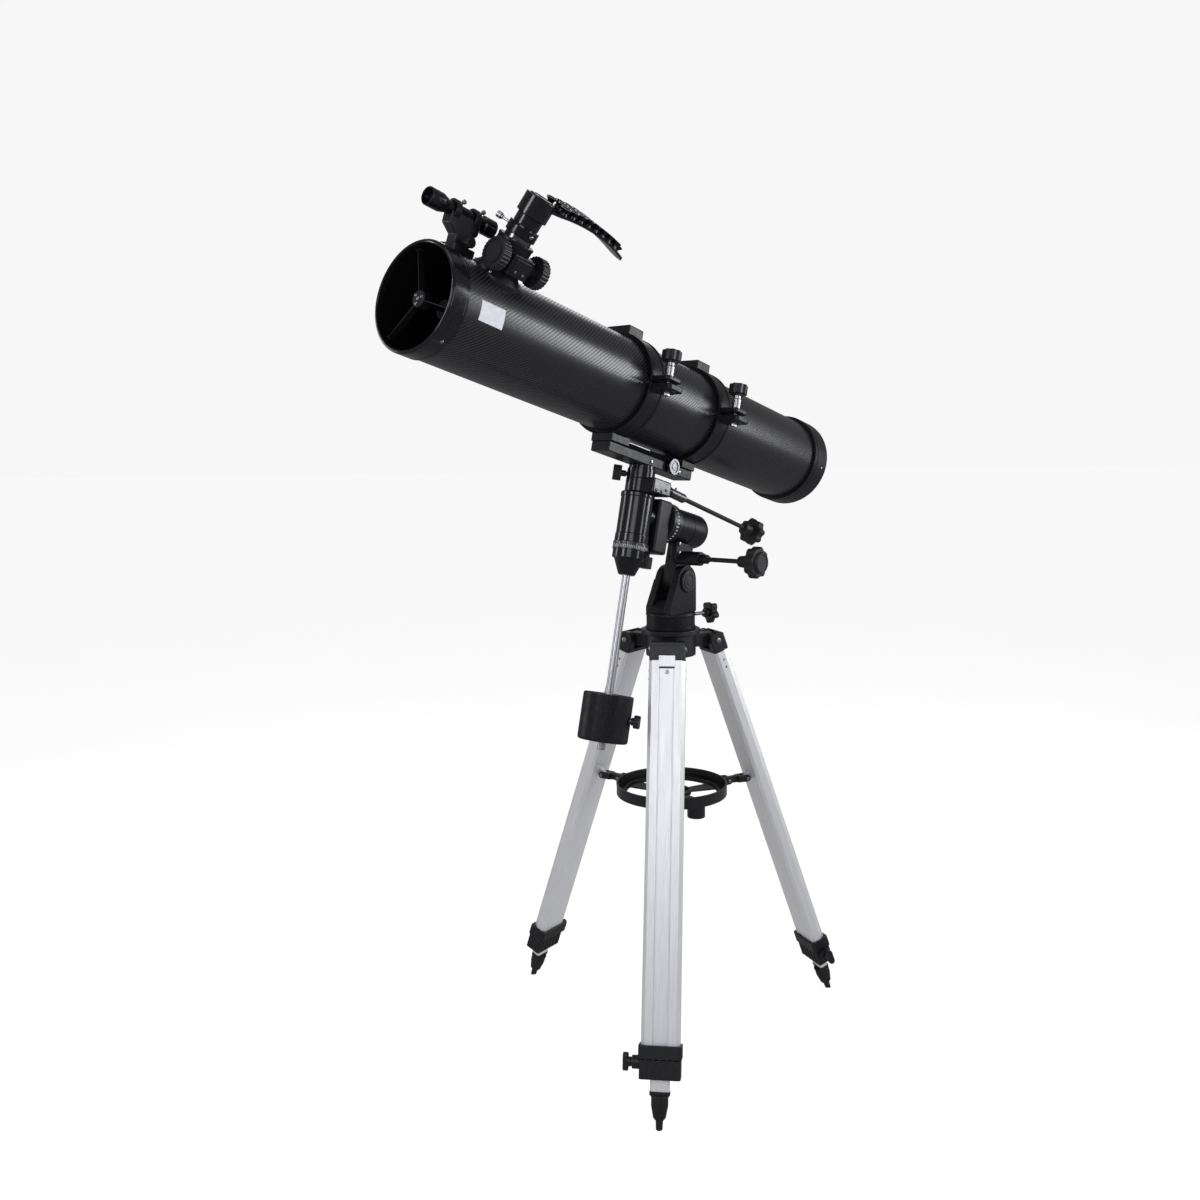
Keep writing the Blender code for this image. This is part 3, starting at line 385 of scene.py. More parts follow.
FINISHES = {
    "plastic": grained("satin_plastic", (0.0060, 0.0060, 0.0070), (0.0125, 0.0125, 0.0140), (0.32, 0.42), 700, 0.06, shine=0.34),
    "gloss": grained("gloss_enamel", (0.0030, 0.0030, 0.0042), (0.0065, 0.0065, 0.0082), (0.13, 0.20), 300, 0.05),
    "enamel": grained("black_enamel", (0.0045, 0.0045, 0.0055), (0.0100, 0.0100, 0.0115), (0.30, 0.40), 420, 0.02, shine=0.22),
    "crackle": grained("cast_enamel", (0.0040, 0.0040, 0.0048), (0.0105, 0.0105, 0.0120), (0.34, 0.46), 260, 0.04, shine=0.15),
    "rubber": grained("rubber", (0.0060, 0.0060, 0.0065), (0.0140, 0.0140, 0.0150), (0.42, 0.60), 1100, 0.15, shine=0.28),
    "felt": grained("felt", (0.002, 0.002, 0.002), (0.008, 0.008, 0.008), (0.88, 1.0), 2600, 0.8, shine=0.05),
    "bore": grained("matt_bore", (0.0012, 0.0012, 0.0012), (0.0030, 0.0030, 0.0030), (0.75, 0.90), 500, 0.2, shine=0.05),
    "chrome": grained("chrome", (0.34, 0.34, 0.36), (0.44, 0.44, 0.46), (0.28, 0.33), 240, 0.0, 1.0),
    "steel": grained("machined_steel", (0.26, 0.26, 0.28), (0.36, 0.36, 0.38), (0.26, 0.34), 520, 0.02, 1.0),
    "dark_steel": grained("dark_steel", (0.10, 0.10, 0.11), (0.17, 0.17, 0.18), (0.26, 0.34), 520, 0.02, 1.0),
    "dark_chrome": grained("dark_chrome", (0.13, 0.13, 0.15), (0.20, 0.20, 0.22), (0.12, 0.18), 240, 0.03, 1.0),
    "glass": grained("coated_lens", (0.004, 0.006, 0.012), (0.010, 0.008, 0.020), (0.03, 0.06), 60, 0.0, 0, 1.0),
    "mirror": grained("mirror", (0.86, 0.87, 0.90), (0.92, 0.92, 0.94), (0.01, 0.03), 40, 0.0, 1.0),
    "label": grained("paper_label", (0.52, 0.54, 0.58), (0.62, 0.63, 0.66), (0.40, 0.55), 180, 0.05),
    "carbon": carbon_wrap(),
    "ra_scale": graduated("ra_scale", POLAR, 36, 0.0530, 0.0605),
    "dec_scale": graduated("dec_scale", AXLE @ about("Y", -pi / 2), 60, -0.0550, -0.0470),
}
for leg, home in LEGS.items():
    FINISHES[f"leg_{leg}"] = grained(f"anodised_{leg}", (0.66, 0.66, 0.69), (0.76, 0.76, 0.78), (0.34, 0.44),
                                     900, 0.03, 0.55, 0.0, home, (1.0, 1.0, 0.03))

# Objects ------------------------------------------------------------------------------------------


def settled(piece, matrix):
    """Fix a piece's modifiers into its mesh, in the row's frame."""
    graph = bpy.context.evaluated_depsgraph_get()
    graph.update()
    mesh = bpy.data.meshes.new_from_object(piece.evaluated_get(graph))
    piece.modifiers.clear()
    piece.data = mesh
    piece.matrix_world = Matrix.Identity(4)
    mesh.transform(matrix)
    return mesh


def solid(name, body, home, finish, base, steps=(), stands_for="", crease=33):
    """One piece on a CAD body: a placed mesh, then placed meshes joined to it or cut from it, in order."""
    piece = bpy.data.objects.new(name, base[0])
    bpy.context.scene.collection.objects.link(piece)
    piece.matrix_world = home @ base[1]
    guides = []
    for number, (operation, mesh, matrix) in enumerate(steps):
        guide = bpy.data.objects.new(f"{name}_guide_{number}", mesh)
        bpy.context.scene.collection.objects.link(guide)
        guide.matrix_world = home @ matrix
        guides.append(guide)
        step = piece.modifiers.new("step", "BOOLEAN")
        step.operation = operation
        step.object = guide
    mesh = settled(piece, home @ base[1])
    for guide in guides:
        bpy.data.objects.remove(guide)
    mesh.shade_smooth()
    mesh.set_sharp_from_angle(angle=radians(crease))
    weigh = piece.modifiers.new("weigh", "WEIGHTED_NORMAL")
    weigh.keep_sharp = True
    mesh = settled(piece, Matrix.Identity(4))
    mesh.materials.clear()
    mesh.materials.append(FINISHES[finish])
    mesh.polygons.foreach_set("material_index", [0] * len(mesh.polygons))
    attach(piece, body)
    if stands_for:
        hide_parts(stands_for)
    return piece


def join(mesh, matrix=None):
    return "UNION", mesh, matrix or Matrix.Identity(4)


def cut(mesh, matrix=None):
    return "DIFFERENCE", mesh, matrix or Matrix.Identity(4)


def placed(mesh, matrix=None):
    return mesh, matrix or Matrix.Identity(4)


def screw(name, body, home, matrix, radius, height, finish="chrome", recess=True):
    """A pan-head screw whose head stands on the local Z plane."""
    head = turned([(0, -0.0010), (radius, -0.0010), (radius, height * 0.45), (radius * 0.86, height * 0.85),
                   (radius * 0.55, height), (0, height)], 24)
    steps = []
    if recess:
        for turn in (0, pi / 2):
            slot = block((-radius * 0.55, -radius * 0.11, height * 0.45), (radius * 0.55, radius * 0.11, height * 2))
            steps.append(cut(slot, matrix @ about("Z", turn + 0.4)))
    return solid(name, body, home, finish, placed(head, matrix), steps)


def nut(name, body, home, matrix, across, low, high, bore=0.0, finish="chrome"):
    """A hexagon nut along local Z."""
    steps = [cut(rod(bore, low - 0.01, high + 0.01, sides=24), matrix)] if bore else []
    return solid(name, body, home, finish, placed(prism(hexagon(across), low, high, 0.0004), matrix), steps)

# Tripod -------------------------------------------------------------------------------------------


def make_hub():
    steps = []
    for heading in LEG_HEADINGS.values():
        bar = [(0.030, -LUG_END), *arc(HINGE_RADIUS, 0, LUG_END, -pi / 2, pi / 2, 20), (0.030, LUG_END)]
        lug = prism(bar, -LUG_WIDTH / 2, LUG_WIDTH / 2, 0.0012)
        steps.append(join(lug, about("Z", heading) @ at(0, 0, HINGE_HEIGHT, IN_XZ)))
    for heading in LEG_HEADINGS.values():
        steps.append(cut(rod(0.0032, -0.02, 0.02), about("Z", heading) @ at(HINGE_RADIUS, 0, HINGE_HEIGHT, IN_XZ)))
    body = turned([(0, HUB_LOW), (HUB_RADIUS, HUB_LOW), (HUB_RADIUS, 0.6625), (FLANGE_RADIUS, 0.6640),
                   (FLANGE_RADIUS, HUB_TOP), (SPIGOT_RADIUS, HUB_TOP), (SPIGOT_RADIUS, 0.6900), (0, 0.6900)],
                  FINE, 0.0010)
    solid("tripod_hub_casting", "hub", ROW, "plastic", placed(body), steps, "tripod_hub")
    centre_bolt = prism(hexagon(0.017), HUB_LOW - 0.006, HUB_LOW + 0.001, 0.0006)
    solid("tripod_centre_bolt", "hub", ROW, "steel", placed(centre_bolt))


def channel_outline(grow=0.0):
    """The leg's section: a flat outer face (+Y) with a shallow band, bevelled sides and a plain back."""
    side, depth = CHANNEL_WIDTH / 2 + grow, CHANNEL_DEPTH / 2 + grow
    half = [(side - 0.0040, -depth), (side, -depth + 0.0040), (side, depth - 0.0090), (side - 0.0055, depth),
            (0.0116, depth), (0.0109, depth - 0.0012), (0.0100, depth - 0.0012), (0.0096, depth - 0.0008)]
    return half + [(-x, y) for x, y in reversed(half)]


def channel_core():
    side, depth = CHANNEL_WIDTH / 2 - CHANNEL_WALL, CHANNEL_DEPTH / 2 - CHANNEL_WALL
    half = [(side - 0.0040, -depth), (side, -depth + 0.0040), (side, depth - 0.0090), (side - 0.0055, depth)]
    return half + [(-x, y) for x, y in reversed(half)]


def arm_hinge_on_leg():
    """The spreader arm's hinge in a leg's frame."""
    out, up = ARM_HINGE_RADIUS - HINGE_RADIUS, ARM_HEIGHT - HINGE_HEIGHT
    return out * cos(LEG_TILT) + up * sin(LEG_TILT), -out * sin(LEG_TILT) + up * cos(LEG_TILT)


def make_bracket(name, home):
    steps = []
    cheek_outline = [(-0.0130, -0.0160), (0.0130, -0.0160), *arc(0, 0, 0.0130, 0, pi, 24)]
    for side in (-1, 1):
        near, far = sorted((side * 0.0130, side * 0.0272))
        steps.append(join(prism(cheek_outline, near, far, 0.0014), IN_YZ))
    steps.append(join(rod(0.0028, -0.0200, 0.0200), ALONG_X))
    steps.append(join(block((-0.0262, 0.0114, -0.0170), (0.0262, 0.0134, 0.0085), 0.0008)))
    steps.append(join(block((-0.0195, 0.0120, -0.0120), (0.0195, 0.0143, 0.0040), 0.0009)))
    steps.append(join(prism(rounded_rectangle(CHANNEL_WIDTH - 0.014, 0.017, 0.003, 3), -0.042, -0.017)))
    yoke = prism(rounded_rectangle(0.0555, 0.0265, 0.0035), CHANNEL_TOP + GAP, -0.0128, 0.0008)
    solid(f"leg_{name}_bracket", f"leg_{name}", home, "plastic", placed(yoke), steps, f"leg_bracket_{name}")
    for side, label in ((1, "a"), (-1, "b")):
        turn = ALONG_X if side > 0 else about("Y", -pi / 2)
        screw(f"leg_{name}_hinge_screw_{label}", f"leg_{name}", home, at(side * 0.0272, 0, 0, turn), 0.0046, 0.0026)


def make_channel(name, home):
    hinge_y, hinge_z = arm_hinge_on_leg()
    back = -CHANNEL_DEPTH / 2 + 0.001
    tab = [(back, hinge_z - 0.009), (back, hinge_z + 0.009), *arc(hinge_y, hinge_z, 0.0055, pi / 2, 3 * pi / 2, 16)]
    finish = f"leg_{name}"
    solid(f"leg_{name}_channel", f"leg_{name}", home, finish,
          placed(prism(channel_outline(), CHANNEL_BOTTOM, CHANNEL_TOP, 0.00025)),
          [join(prism(tab, -0.004, 0.004, 0.0006), IN_YZ),
           cut(prism(channel_core(), CHANNEL_BOTTOM - 0.01, CHANNEL_TOP + 0.01)),
           cut(rod(0.0024, -0.01, 0.01), at(0, hinge_y, hinge_z, ALONG_X))], f"leg_channel_{name}")
    face = CHANNEL_DEPTH / 2
    solid(f"leg_{name}_clip", f"leg_{name}", home, finish,
          placed(block((-0.0125, face - 0.0010, -0.0290), (0.0125, face + 0.0011, -0.0120), 0.0004)))
    solid(f"leg_{name}_clip_slot", f"leg_{name}", home, "rubber",
          placed(block((-0.0120, face - 0.0010, -0.0318), (0.0120, face + 0.0004, -0.0296), 0.0003)))
    screw(f"leg_{name}_top_screw", f"leg_{name}", home, at(0, face - 0.0011, -0.0375, about("X", -pi / 2)),
          0.0028, 0.0022)
    for side in (-1, 1):
        for number, height in enumerate((-0.0335, -0.0465)):
            matrix = at(side * (CHANNEL_WIDTH / 2 - 0.0001), -0.0015, height, about("Y", side * pi / 2))
            screw(f"leg_{name}_rivet_{'ab'[side > 0]}{number}", f"leg_{name}", home, matrix, 0.0018, 0.0009,
                  "steel", False)


def make_clamp(name, home):
    socket = channel_outline(0.0004)
    slot = rounded_rectangle(INNER_LEG_WIDTH + 2 * GAP, INNER_LEG_DEPTH + 2 * GAP, 0.003)
    steps = [join(prism(rounded_rectangle(0.0600, 0.0300, 0.004), CLAMP_BOTTOM, CLAMP_BOTTOM + 0.0265, 0.0012)),
             join(rod(0.0095, 0.028, 0.041, 0.0012, 48), at(0, 0, LEG_SCREW, ALONG_X))]
    for x in (-0.0200, -0.0100, 0.0, 0.0100, 0.0200):
        for side in (-1, 1):
            low, high = sorted((side * 0.0140, side * 0.0163))
            steps.append(join(block((x - 0.0016, low, CLAMP_BOTTOM + 0.002), (x + 0.0016, high, CLAMP_TOP - 0.016),
                                    0.0006)))
    steps += [cut(prism(socket, CHANNEL_BOTTOM - GAP, -0.55)),
              cut(prism(slot, -0.65, -0.580)),
              cut(rod(0.0033, 0.010, 0.045), at(0, 0, LEG_SCREW, ALONG_X))]
    rim = prism(rounded_rectangle(0.063, 0.0335, 0.0045), CLAMP_TOP - 0.0190, CLAMP_TOP, 0.0010)
    solid(f"leg_{name}_clamp", f"leg_{name}", home, "plastic", placed(rim), steps, f"leg_clamp_{name}")


def make_inner_leg(name, home, heading):
    body = f"inner_leg_{name}"
    rail = rounded_rectangle(INNER_LEG_WIDTH, INNER_LEG_DEPTH, 0.003)
    solid(f"inner_leg_{name}_rail", body, home, f"leg_{name}", placed(prism(rail, -0.6455, INNER_LEG_TOP, 0.0004)), (),
          f"inner_leg_{name}")
    foot = turned([(0, -0.6458), (0.0125, -0.6458), (0.0132, -0.6468), (0.0132, -0.6480), (0.0124, -0.6490),
                   (0.0124, -0.6600), (0.0104, -0.6700), (0.0092, -0.6760), (0.0064, -0.6795), (0.0054, -0.6800),
                   (0.0046, -LEG_LENGTH - 0.004), (0, -LEG_LENGTH - 0.004)], 48, 0.0003)
    out = HINGE_RADIUS + LEG_LENGTH * sin(LEG_TILT)
    ground = home.inverted() @ ROW @ at(*on_heading(heading, out, 0))
    solid(f"foot_{name}_rubber", body, home, "rubber", placed(foot),
          [cut(block((-0.05, -0.05, -0.05), (0.05, 0.05, 0)), ground)], f"foot_{name}")
    collar = rounded_rectangle(INNER_LEG_WIDTH + 0.0016, INNER_LEG_DEPTH + 0.0016, 0.0035)
    solid(f"inner_leg_{name}_collar", body, home, "plastic", placed(prism(collar, -0.6462, -0.6405, 0.0006)))


def make_wing_screw(name, home):
    wing = prism(stadium(0.0256, 0.0105), 0.0045, 0.0128, 0.0016)
    hub = turned([(0, 0.0003), (0.0068, 0.0003), (0.0068, 0.0050), (0.0050, 0.0090), (0, 0.0090)], 40, 0.0006)
    place = home @ at(0.0415, 0, LEG_SCREW)
    solid(f"wing_screw_{name}", f"leg_screw_{name}", place, "plastic", placed(wing, ALONG_X),
          [join(hub, ALONG_X)], f"leg_lock_screw_{name}")
    solid(f"wing_screw_{name}_thread", f"leg_screw_{name}", place, "steel", placed(rod(0.0029, -0.0265, 0.0010), ALONG_X))


def make_arm(name, heading):
    place = ROW @ at(*on_heading(heading, ARM_HINGE_RADIUS, ARM_HEIGHT), about("Z", heading))
    reach = TRAY_HINGE_RADIUS - ARM_HINGE_RADIUS
    bar = arc(reach, 0, 0.0050, pi / 2, 3 * pi / 2, 16) + arc(0, 0, 0.0058, -pi / 2, pi / 2, 16)
    steps = [cut(block((-0.0105, -0.0044, -0.02), (0.02, 0.0044, 0.02)))]
    for low, high in ((-0.02, -0.0042), (0.0042, 0.02)):
        steps.append(cut(block((reach - 0.02, low, -0.02), (reach + 0.018, high, 0.02))))
    steps.append(join(rod(0.0020, -0.0070, 0.0070), IN_XZ))
    solid(f"arm_{name}", f"arm_{name}", place, "plastic", placed(prism(bar, -0.0085, 0.0085, 0.0012), IN_XZ), steps,
          f"spreader_arm_{name}")
    for side, label in ((1, "a"), (-1, "b")):
        turn = about("X", -side * pi / 2)
        screw(f"arm_{name}_pin_{label}", f"arm_{name}", place, at(0, side * 0.0085, 0, turn), 0.0030, 0.0014)
        ear = ROW @ about("Z", heading) @ at(TRAY_HINGE_RADIUS, side * 0.0095, ARM_HEIGHT, turn)
        screw(f"tray_{name}_pin_{label}", "tray", ear, Matrix.Identity(4), 0.0030, 0.0014)


def make_tray():
    low = TRAY_TOP - TRAY_HEIGHT
    floor = low + TRAY_FLOOR
    dish = turned([(0, low), (TRAY_RADIUS, low), (TRAY_RADIUS, TRAY_TOP - 0.004), (TRAY_RADIUS + 0.0008, TRAY_TOP),
                   (TRAY_RADIUS - 0.0025, TRAY_TOP), (TRAY_RADIUS - 0.0032, floor), (0, floor)], FINE, 0.0008)
    steps = []
    ear = [(TRAY_RADIUS - 0.0015, -0.007), *arc(TRAY_HINGE_RADIUS, 0, 0.006, -pi / 2, pi / 2, 16),
           (TRAY_RADIUS - 0.0015, 0.007)]
    for heading in LEG_HEADINGS.values():
        for near, far in ((-0.0095, -0.0052), (0.0052, 0.0095)):
            steps.append(join(prism(ear, near, far, 0.0006), about("Z", heading) @ at(0, 0, ARM_HEIGHT, IN_XZ)))
    for radius in (0.0290, 0.0765):
        steps.append(join(pipe(radius + 0.0011, radius - 0.0011, low + 0.0010, floor + 0.0040, 0.0005, FINE)))
    for start, end in ((-38, 18), (42, 138), (162, 258)):
        start, end = radians(start), radians(end)
        window = arc(0, 0, 0.074, start, end, 40) + arc(0, 0, 0.032, end - 0.12, start + 0.12, 20)
        steps.append(cut(prism(window, low - 0.01, floor + 0.01)))
    x, y = POCKET
    steps.append(join(rod(0.0142, low - 0.0200, floor - 0.001, 0.0010, 64), at(x, y, 0)))
    steps.append(cut(rod(0.0122, low - 0.0180, low + 0.02, sides=64), at(x, y, 0)))
    for angle in (30, 150, 270):
        heading = radians(angle)
        steps.append(cut(rod(0.0050, low - 0.01, floor + 0.01), at(0.0200 * cos(heading), 0.0200 * sin(heading), 0)))
    solid("tray_dish", "tray", ROW, "plastic", placed(dish), steps, "accessory_tray")


# Mount --------------------------------------------------------------------------------------------


def make_azimuth_base():
    base = turned([(0, 0.6718), (HUB_RADIUS, 0.6718), (HUB_RADIUS, 0.6755), (HUB_RADIUS - 0.0012, 0.6765),
                   (HUB_RADIUS - 0.0012, 0.6930), (HUB_RADIUS, 0.6940), (HUB_RADIUS - 0.0010, 0.6980), (0, 0.6980)],
                  FINE, 0.0005)
    cheek = [(-PIVOT_BACK - 0.025, 0.6960), (0.034, 0.6960), (0.034, 0.7070),
             *arc(-PIVOT_BACK, PIVOT_HEIGHT, 0.025, radians(26), pi, 48)]
    web = [(-PIVOT_BACK - 0.025, 0.6960), (0.034, 0.6960), (0.034, 0.7070), (0.020, 0.7180),
           (-PIVOT_BACK - 0.025, 0.7180)]
    rib = [(0.0330, 0.6965), (0.0335, 0.7075), (0.0115, 0.7500), (0.0085, 0.7485), (0.0290, 0.7060), (0.0290, 0.6965)]
    lock = about("Z", AZIMUTH_LOCK_HEADING) @ at(0, 0, AZIMUTH_LOCK_HEIGHT, ALONG_X)
    steps = [join(prism(cheek, -0.0230, -0.0115, 0.0020), IN_XZ), join(prism(cheek, 0.0115, 0.0230, 0.0020), IN_XZ),
             join(prism(web, -0.0125, 0.0125), IN_XZ),
             join(prism(rib, 0.0220, 0.0244, 0.0008), IN_XZ), join(prism(rib, -0.0244, -0.0220, 0.0008), IN_XZ),
             cut(rod(SPIGOT_RADIUS + GAP, 0.66, 0.6905, sides=FINE)),
             cut(rod(0.0033, 0.015, 0.050), lock),
             cut(rod(0.0043, -0.05, 0.05, sides=40), at(-PIVOT_BACK, 0, PIVOT_HEIGHT, IN_XZ))]
    solid("azimuth_casting", "azimuth", AZIMUTH, "crackle", placed(base), steps, "azimuth_base")

    knob = AZIMUTH @ at(0, 0, AZIMUTH_LOCK_HEIGHT, about("Z", AZIMUTH_LOCK_HEADING))
    solid("azimuth_star_knob", "azimuth_lock", knob, "plastic",
          placed(prism(lobed(0.018, 0.0055, 5, 14), 0.0740, 0.0860, 0.0018), ALONG_X),
          [join(rod(0.0072, 0.0680, 0.0760, 0.0008, 48), ALONG_X),
           join(rod(0.0080, 0.0840, 0.0872, 0.0010, 48), ALONG_X)], "azimuth_lock_knob")
    solid("azimuth_knob_thread", "azimuth_lock", knob, "chrome", placed(rod(0.0030, 0.0212, 0.0685), ALONG_X))


def make_latitude_bolt():
    disc = turned([(0, -0.0278), (0.0060, -0.0278), (0.0066, -0.0270), (0.0098, -0.0270), (0.0104, -0.0280),
                   (0.0124, -0.0280), (0.0130, -0.0268), (0.0164, -0.0268), (0.0180, -0.0256), (0.0180, -0.0233),
                   (0.0040, -0.0233), (0.0040, 0.0233), (0.0095, 0.0233), (0.0095, 0.0290), (0, 0.0290)], 96, 0.0003)
    solid("latitude_cap", "latitude_bolt", POLAR_BASE, "plastic", placed(disc, IN_XZ), (), "latitude_bolt")
    nut("latitude_nut", "latitude_bolt", POLAR_BASE, IN_XZ, 0.0125, 0.0285, 0.0325)


def make_ra_housing():
    tongue = [(-0.020, 0.064), *arc(0, 0, 0.0215, pi, 2 * pi, 48), (0.020, 0.064)]
    cap = turned([(0, -0.0350), (0.0225, -0.0350), (0.0262, -0.0330), (0.0278, -0.0290), (0.0280, -0.0200),
                  (0.0280, 0.0040), (0.0272, 0.0046), (0.0272, 0.0062), (0.0280, 0.0068), (0.0280, 0.0438),
                  (0, 0.0438)], FINE, 0.0003)
    solid("ra_casting", "polar_head", POLAR_BASE, "enamel", placed(cap, at(0, 0, POLAR_RISE, ALONG_X)),
          [join(prism(tongue, -0.0110, 0.0110, 0.0015), IN_XZ),
           join(rod(0.0177, 0.03, 0.07, sides=ROUND), at(0, 0, POLAR_RISE, ALONG_X)),
           join(block((0.0660, -0.0240, POLAR_RISE - 0.0540), (0.0982, 0.0240, POLAR_RISE + 0.0300), 0.0040)),
           join(rod(0.0110, 0.0050, 0.0560, 0.0012, 48), at(0.0160, 0, 0.0350, ALONG_Y)),
           cut(rod(0.0120, -0.0100, 0.1200, sides=ROUND), at(0, 0, POLAR_RISE, ALONG_X)),
           cut(rod(0.0054, -0.0050, 0.0700), at(0.0160, 0, 0.0350, ALONG_Y)),
           cut(rod(0.0033, 0.0200, 0.0800), at(0.0840, 0, 0)),
           cut(rod(0.0043, -0.05, 0.05, sides=40), IN_XZ)], "ra_housing")
    screw("ra_worm_screw_a", "polar_head", POLAR_BASE, at(0.0325, 0.0215, 0.0540, about("X", -pi / 2)), 0.0036, 0.0028, "steel")
    screw("ra_worm_screw_b", "polar_head", POLAR_BASE, at(0.0300, 0.0215, 0.0400, about("X", -pi / 2)), 0.0036, 0.0028, "steel")
    solid("ra_worm_cover", "polar_head", POLAR_BASE, "enamel",
          placed(block((0.0020, 0.0100, 0.0285), (0.0385, 0.0222, 0.0580), 0.0020)),
          [cut(rod(0.0108, -0.01, 0.07, sides=48), at(0.0160, 0, 0.0350, ALONG_Y))])
    solid("ra_circle_ring", "ra_circle", POLAR, "ra_scale",
          placed(turned([(0.0320, 0.0443), (0.0320, 0.0655), (0.0180, 0.0655), (0.0180, 0.0443)], FINE, 0.0010), ALONG_X),
          [cut(pipe(0.0330, 0.0314, 0.0500, 0.0508, 0, FINE), ALONG_X),
           cut(pipe(0.0330, 0.0314, 0.0618, 0.0626, 0, FINE), ALONG_X)], "ra_setting_circle")
    solid("ra_lock_knurled", "ra_lock", POLAR_BASE @ at(0.0840, 0, 0), "plastic",
          placed(prism(lobed(0.0105, 0.0009, 18, 6), 0.0060, 0.0240, 0.0010)),
          [join(rod(0.0050, 0.0230, 0.0296, 0.0006)), join(rod(0.0030, 0.0280, 0.0700))], "ra_lock_knob")


def slow_motion(name, body, home, axis, profile, finish, node):
    solid(name, body, home, finish, placed(profile[0], axis), [join(part, axis) for part in profile[1:]], node)


def make_ra_slow_motion():
    home = POLAR_BASE @ at(0.0160, 0, 0.0350)
    grip = prism(lobed(0.0245, 0.0030, 8, 14), 0.1480, 0.1640, 0.0026)
    neck = turned([(0, 0.1270), (0.0080, 0.1270), (0.0086, 0.1290), (0.0110, 0.1500), (0, 0.1500)], 48, 0.0006)
    cap = turned([(0, 0.1600), (0.0170, 0.1600), (0.0164, 0.1668), (0.0150, 0.1690), (0.0128, 0.1690),
                  (0.0120, 0.1678), (0, 0.1678)], 72, 0.0005)
    slow_motion("ra_slow_motion_grip", "ra_slow_motion", home, ALONG_Y, (grip, neck, cap), "rubber",
                "ra_slow_motion_knob")
    shaft = turned([(0, 0.0000), (0.0050, 0.0000), (0.0050, 0.0565), (0, 0.0565)], 32)
    solid("ra_worm_shaft", "ra_slow_motion", home, "steel", placed(shaft, ALONG_Y))
    solid("ra_cable_sleeve", "ra_slow_motion", home, "enamel",
          placed(turned([(0, 0.0562), (0.0072, 0.0562), (0.0072, 0.0680), (0.0040, 0.0700), (0, 0.0700)], 40, 0.0005),
                 ALONG_Y))
    solid("ra_cable", "ra_slow_motion", home, "rubber", placed(rod(0.0036, 0.0690, 0.1300, 0, 32), ALONG_Y))
    screw("ra_cable_screw", "ra_slow_motion", home, at(0, 0.0620, 0.0068), 0.0022, 0.0020)


def make_declination_head():
    housing = turned([(0, -0.0450), (0.0260, -0.0450), (0.0260, -0.0330), (0.0252, -0.0322), (0.0252, 0.0240),
                      (0.0262, 0.0252), (0.0262, 0.0300), (0.0250, 0.0318), (0.0215, 0.0330), (0.0215, 0.0520),
                      (0.0210, 0.0524), (0.0210, 0.0532), (0.0215, 0.0536), (0.0215, 0.0680), (0, 0.0680)],
                     FINE, 0.0003)
    worm = worm_matrix()
    solid("dec_casting", "declination_head", POLAR, "gloss", placed(housing, at(DEC_AHEAD, 0, 0)),
          [join(rod(0.0190, -0.0275, -0.0100, 0.0008, ROUND), at(DEC_AHEAD, 0, 0, ALONG_X)),
           join(block((DEC_AHEAD - 0.0272, 0.0080, 0.0310), (DEC_AHEAD + 0.0160, 0.0410, 0.0540), 0.0025)),
           join(rod(0.0085, -0.0310, -0.0100, 0.0008, 48), worm @ ALONG_X),
           cut(rod(0.0125, -0.06, 0.10, sides=ROUND), at(DEC_AHEAD, 0, 0)),
           cut(rod(0.0046, -0.0600, 0.0125), worm @ ALONG_X),
           cut(rod(0.0033, 0.0080, 0.0500), dec_lock_matrix())], "dec_housing")
    solid("ra_shaft_steel", "declination_head", POLAR, "steel",
          placed(rod(0.0117, -0.0080, 0.0982, 0.0008, ROUND), ALONG_X), (), "ra_shaft")
    for number, (x, z) in enumerate(((-0.0150, 0.0400), (-0.0040, 0.0360), (0.0090, 0.0360))):
        screw(f"dec_worm_screw_{number}", "declination_head", POLAR,
              at(DEC_AHEAD + x, 0.0409, z, about("X", -pi / 2)), 0.0023, 0.0016, "dark_steel")


def worm_matrix():
    return at(DEC_AHEAD - 0.0050, 0.0300, 0.0445, about("Y", radians(-4.2)))


def dec_lock_matrix():
    return at(DEC_AHEAD, 0, 0.0590, about("Z", radians(-49)) @ ALONG_X)


def make_dec_slow_motion():
    home = POLAR @ worm_matrix()
    backward = about("Y", -pi / 2)
    grip = prism(lobed(0.0225, 0.0036, 8, 14), 0.2670, 0.2830, 0.0024)
    neck = turned([(0, 0.2470), (0.0080, 0.2470), (0.0086, 0.2490), (0.0110, 0.2700), (0, 0.2700)], 48, 0.0006)
    cap = turned([(0, 0.2800), (0.0150, 0.2800), (0.0144, 0.2850), (0.0130, 0.2868), (0.0108, 0.2868),
                  (0.0100, 0.2858), (0, 0.2858)], 72, 0.0005)
    slow_motion("dec_slow_motion_grip", "dec_slow_motion", home, backward, (grip, neck, cap), "rubber",
                "dec_slow_motion_knob")
    solid("dec_worm_shaft", "dec_slow_motion", home, "steel", placed(rod(0.0042, -0.0100, 0.0335), backward))
    solid("dec_cable_sleeve", "dec_slow_motion", home, "dark_steel",
          placed(turned([(0, 0.0330), (0.0072, 0.0330), (0.0072, 0.0700), (0.0040, 0.0720), (0, 0.0720)], 40, 0.0005),
                 backward))
    solid("dec_cable", "dec_slow_motion", home, "rubber", placed(rod(0.0036, 0.0710, 0.2500, 0, 32), backward))
    screw("dec_cable_screw", "dec_slow_motion", home, at(-0.0480, 0, 0.0068), 0.0024, 0.0042)


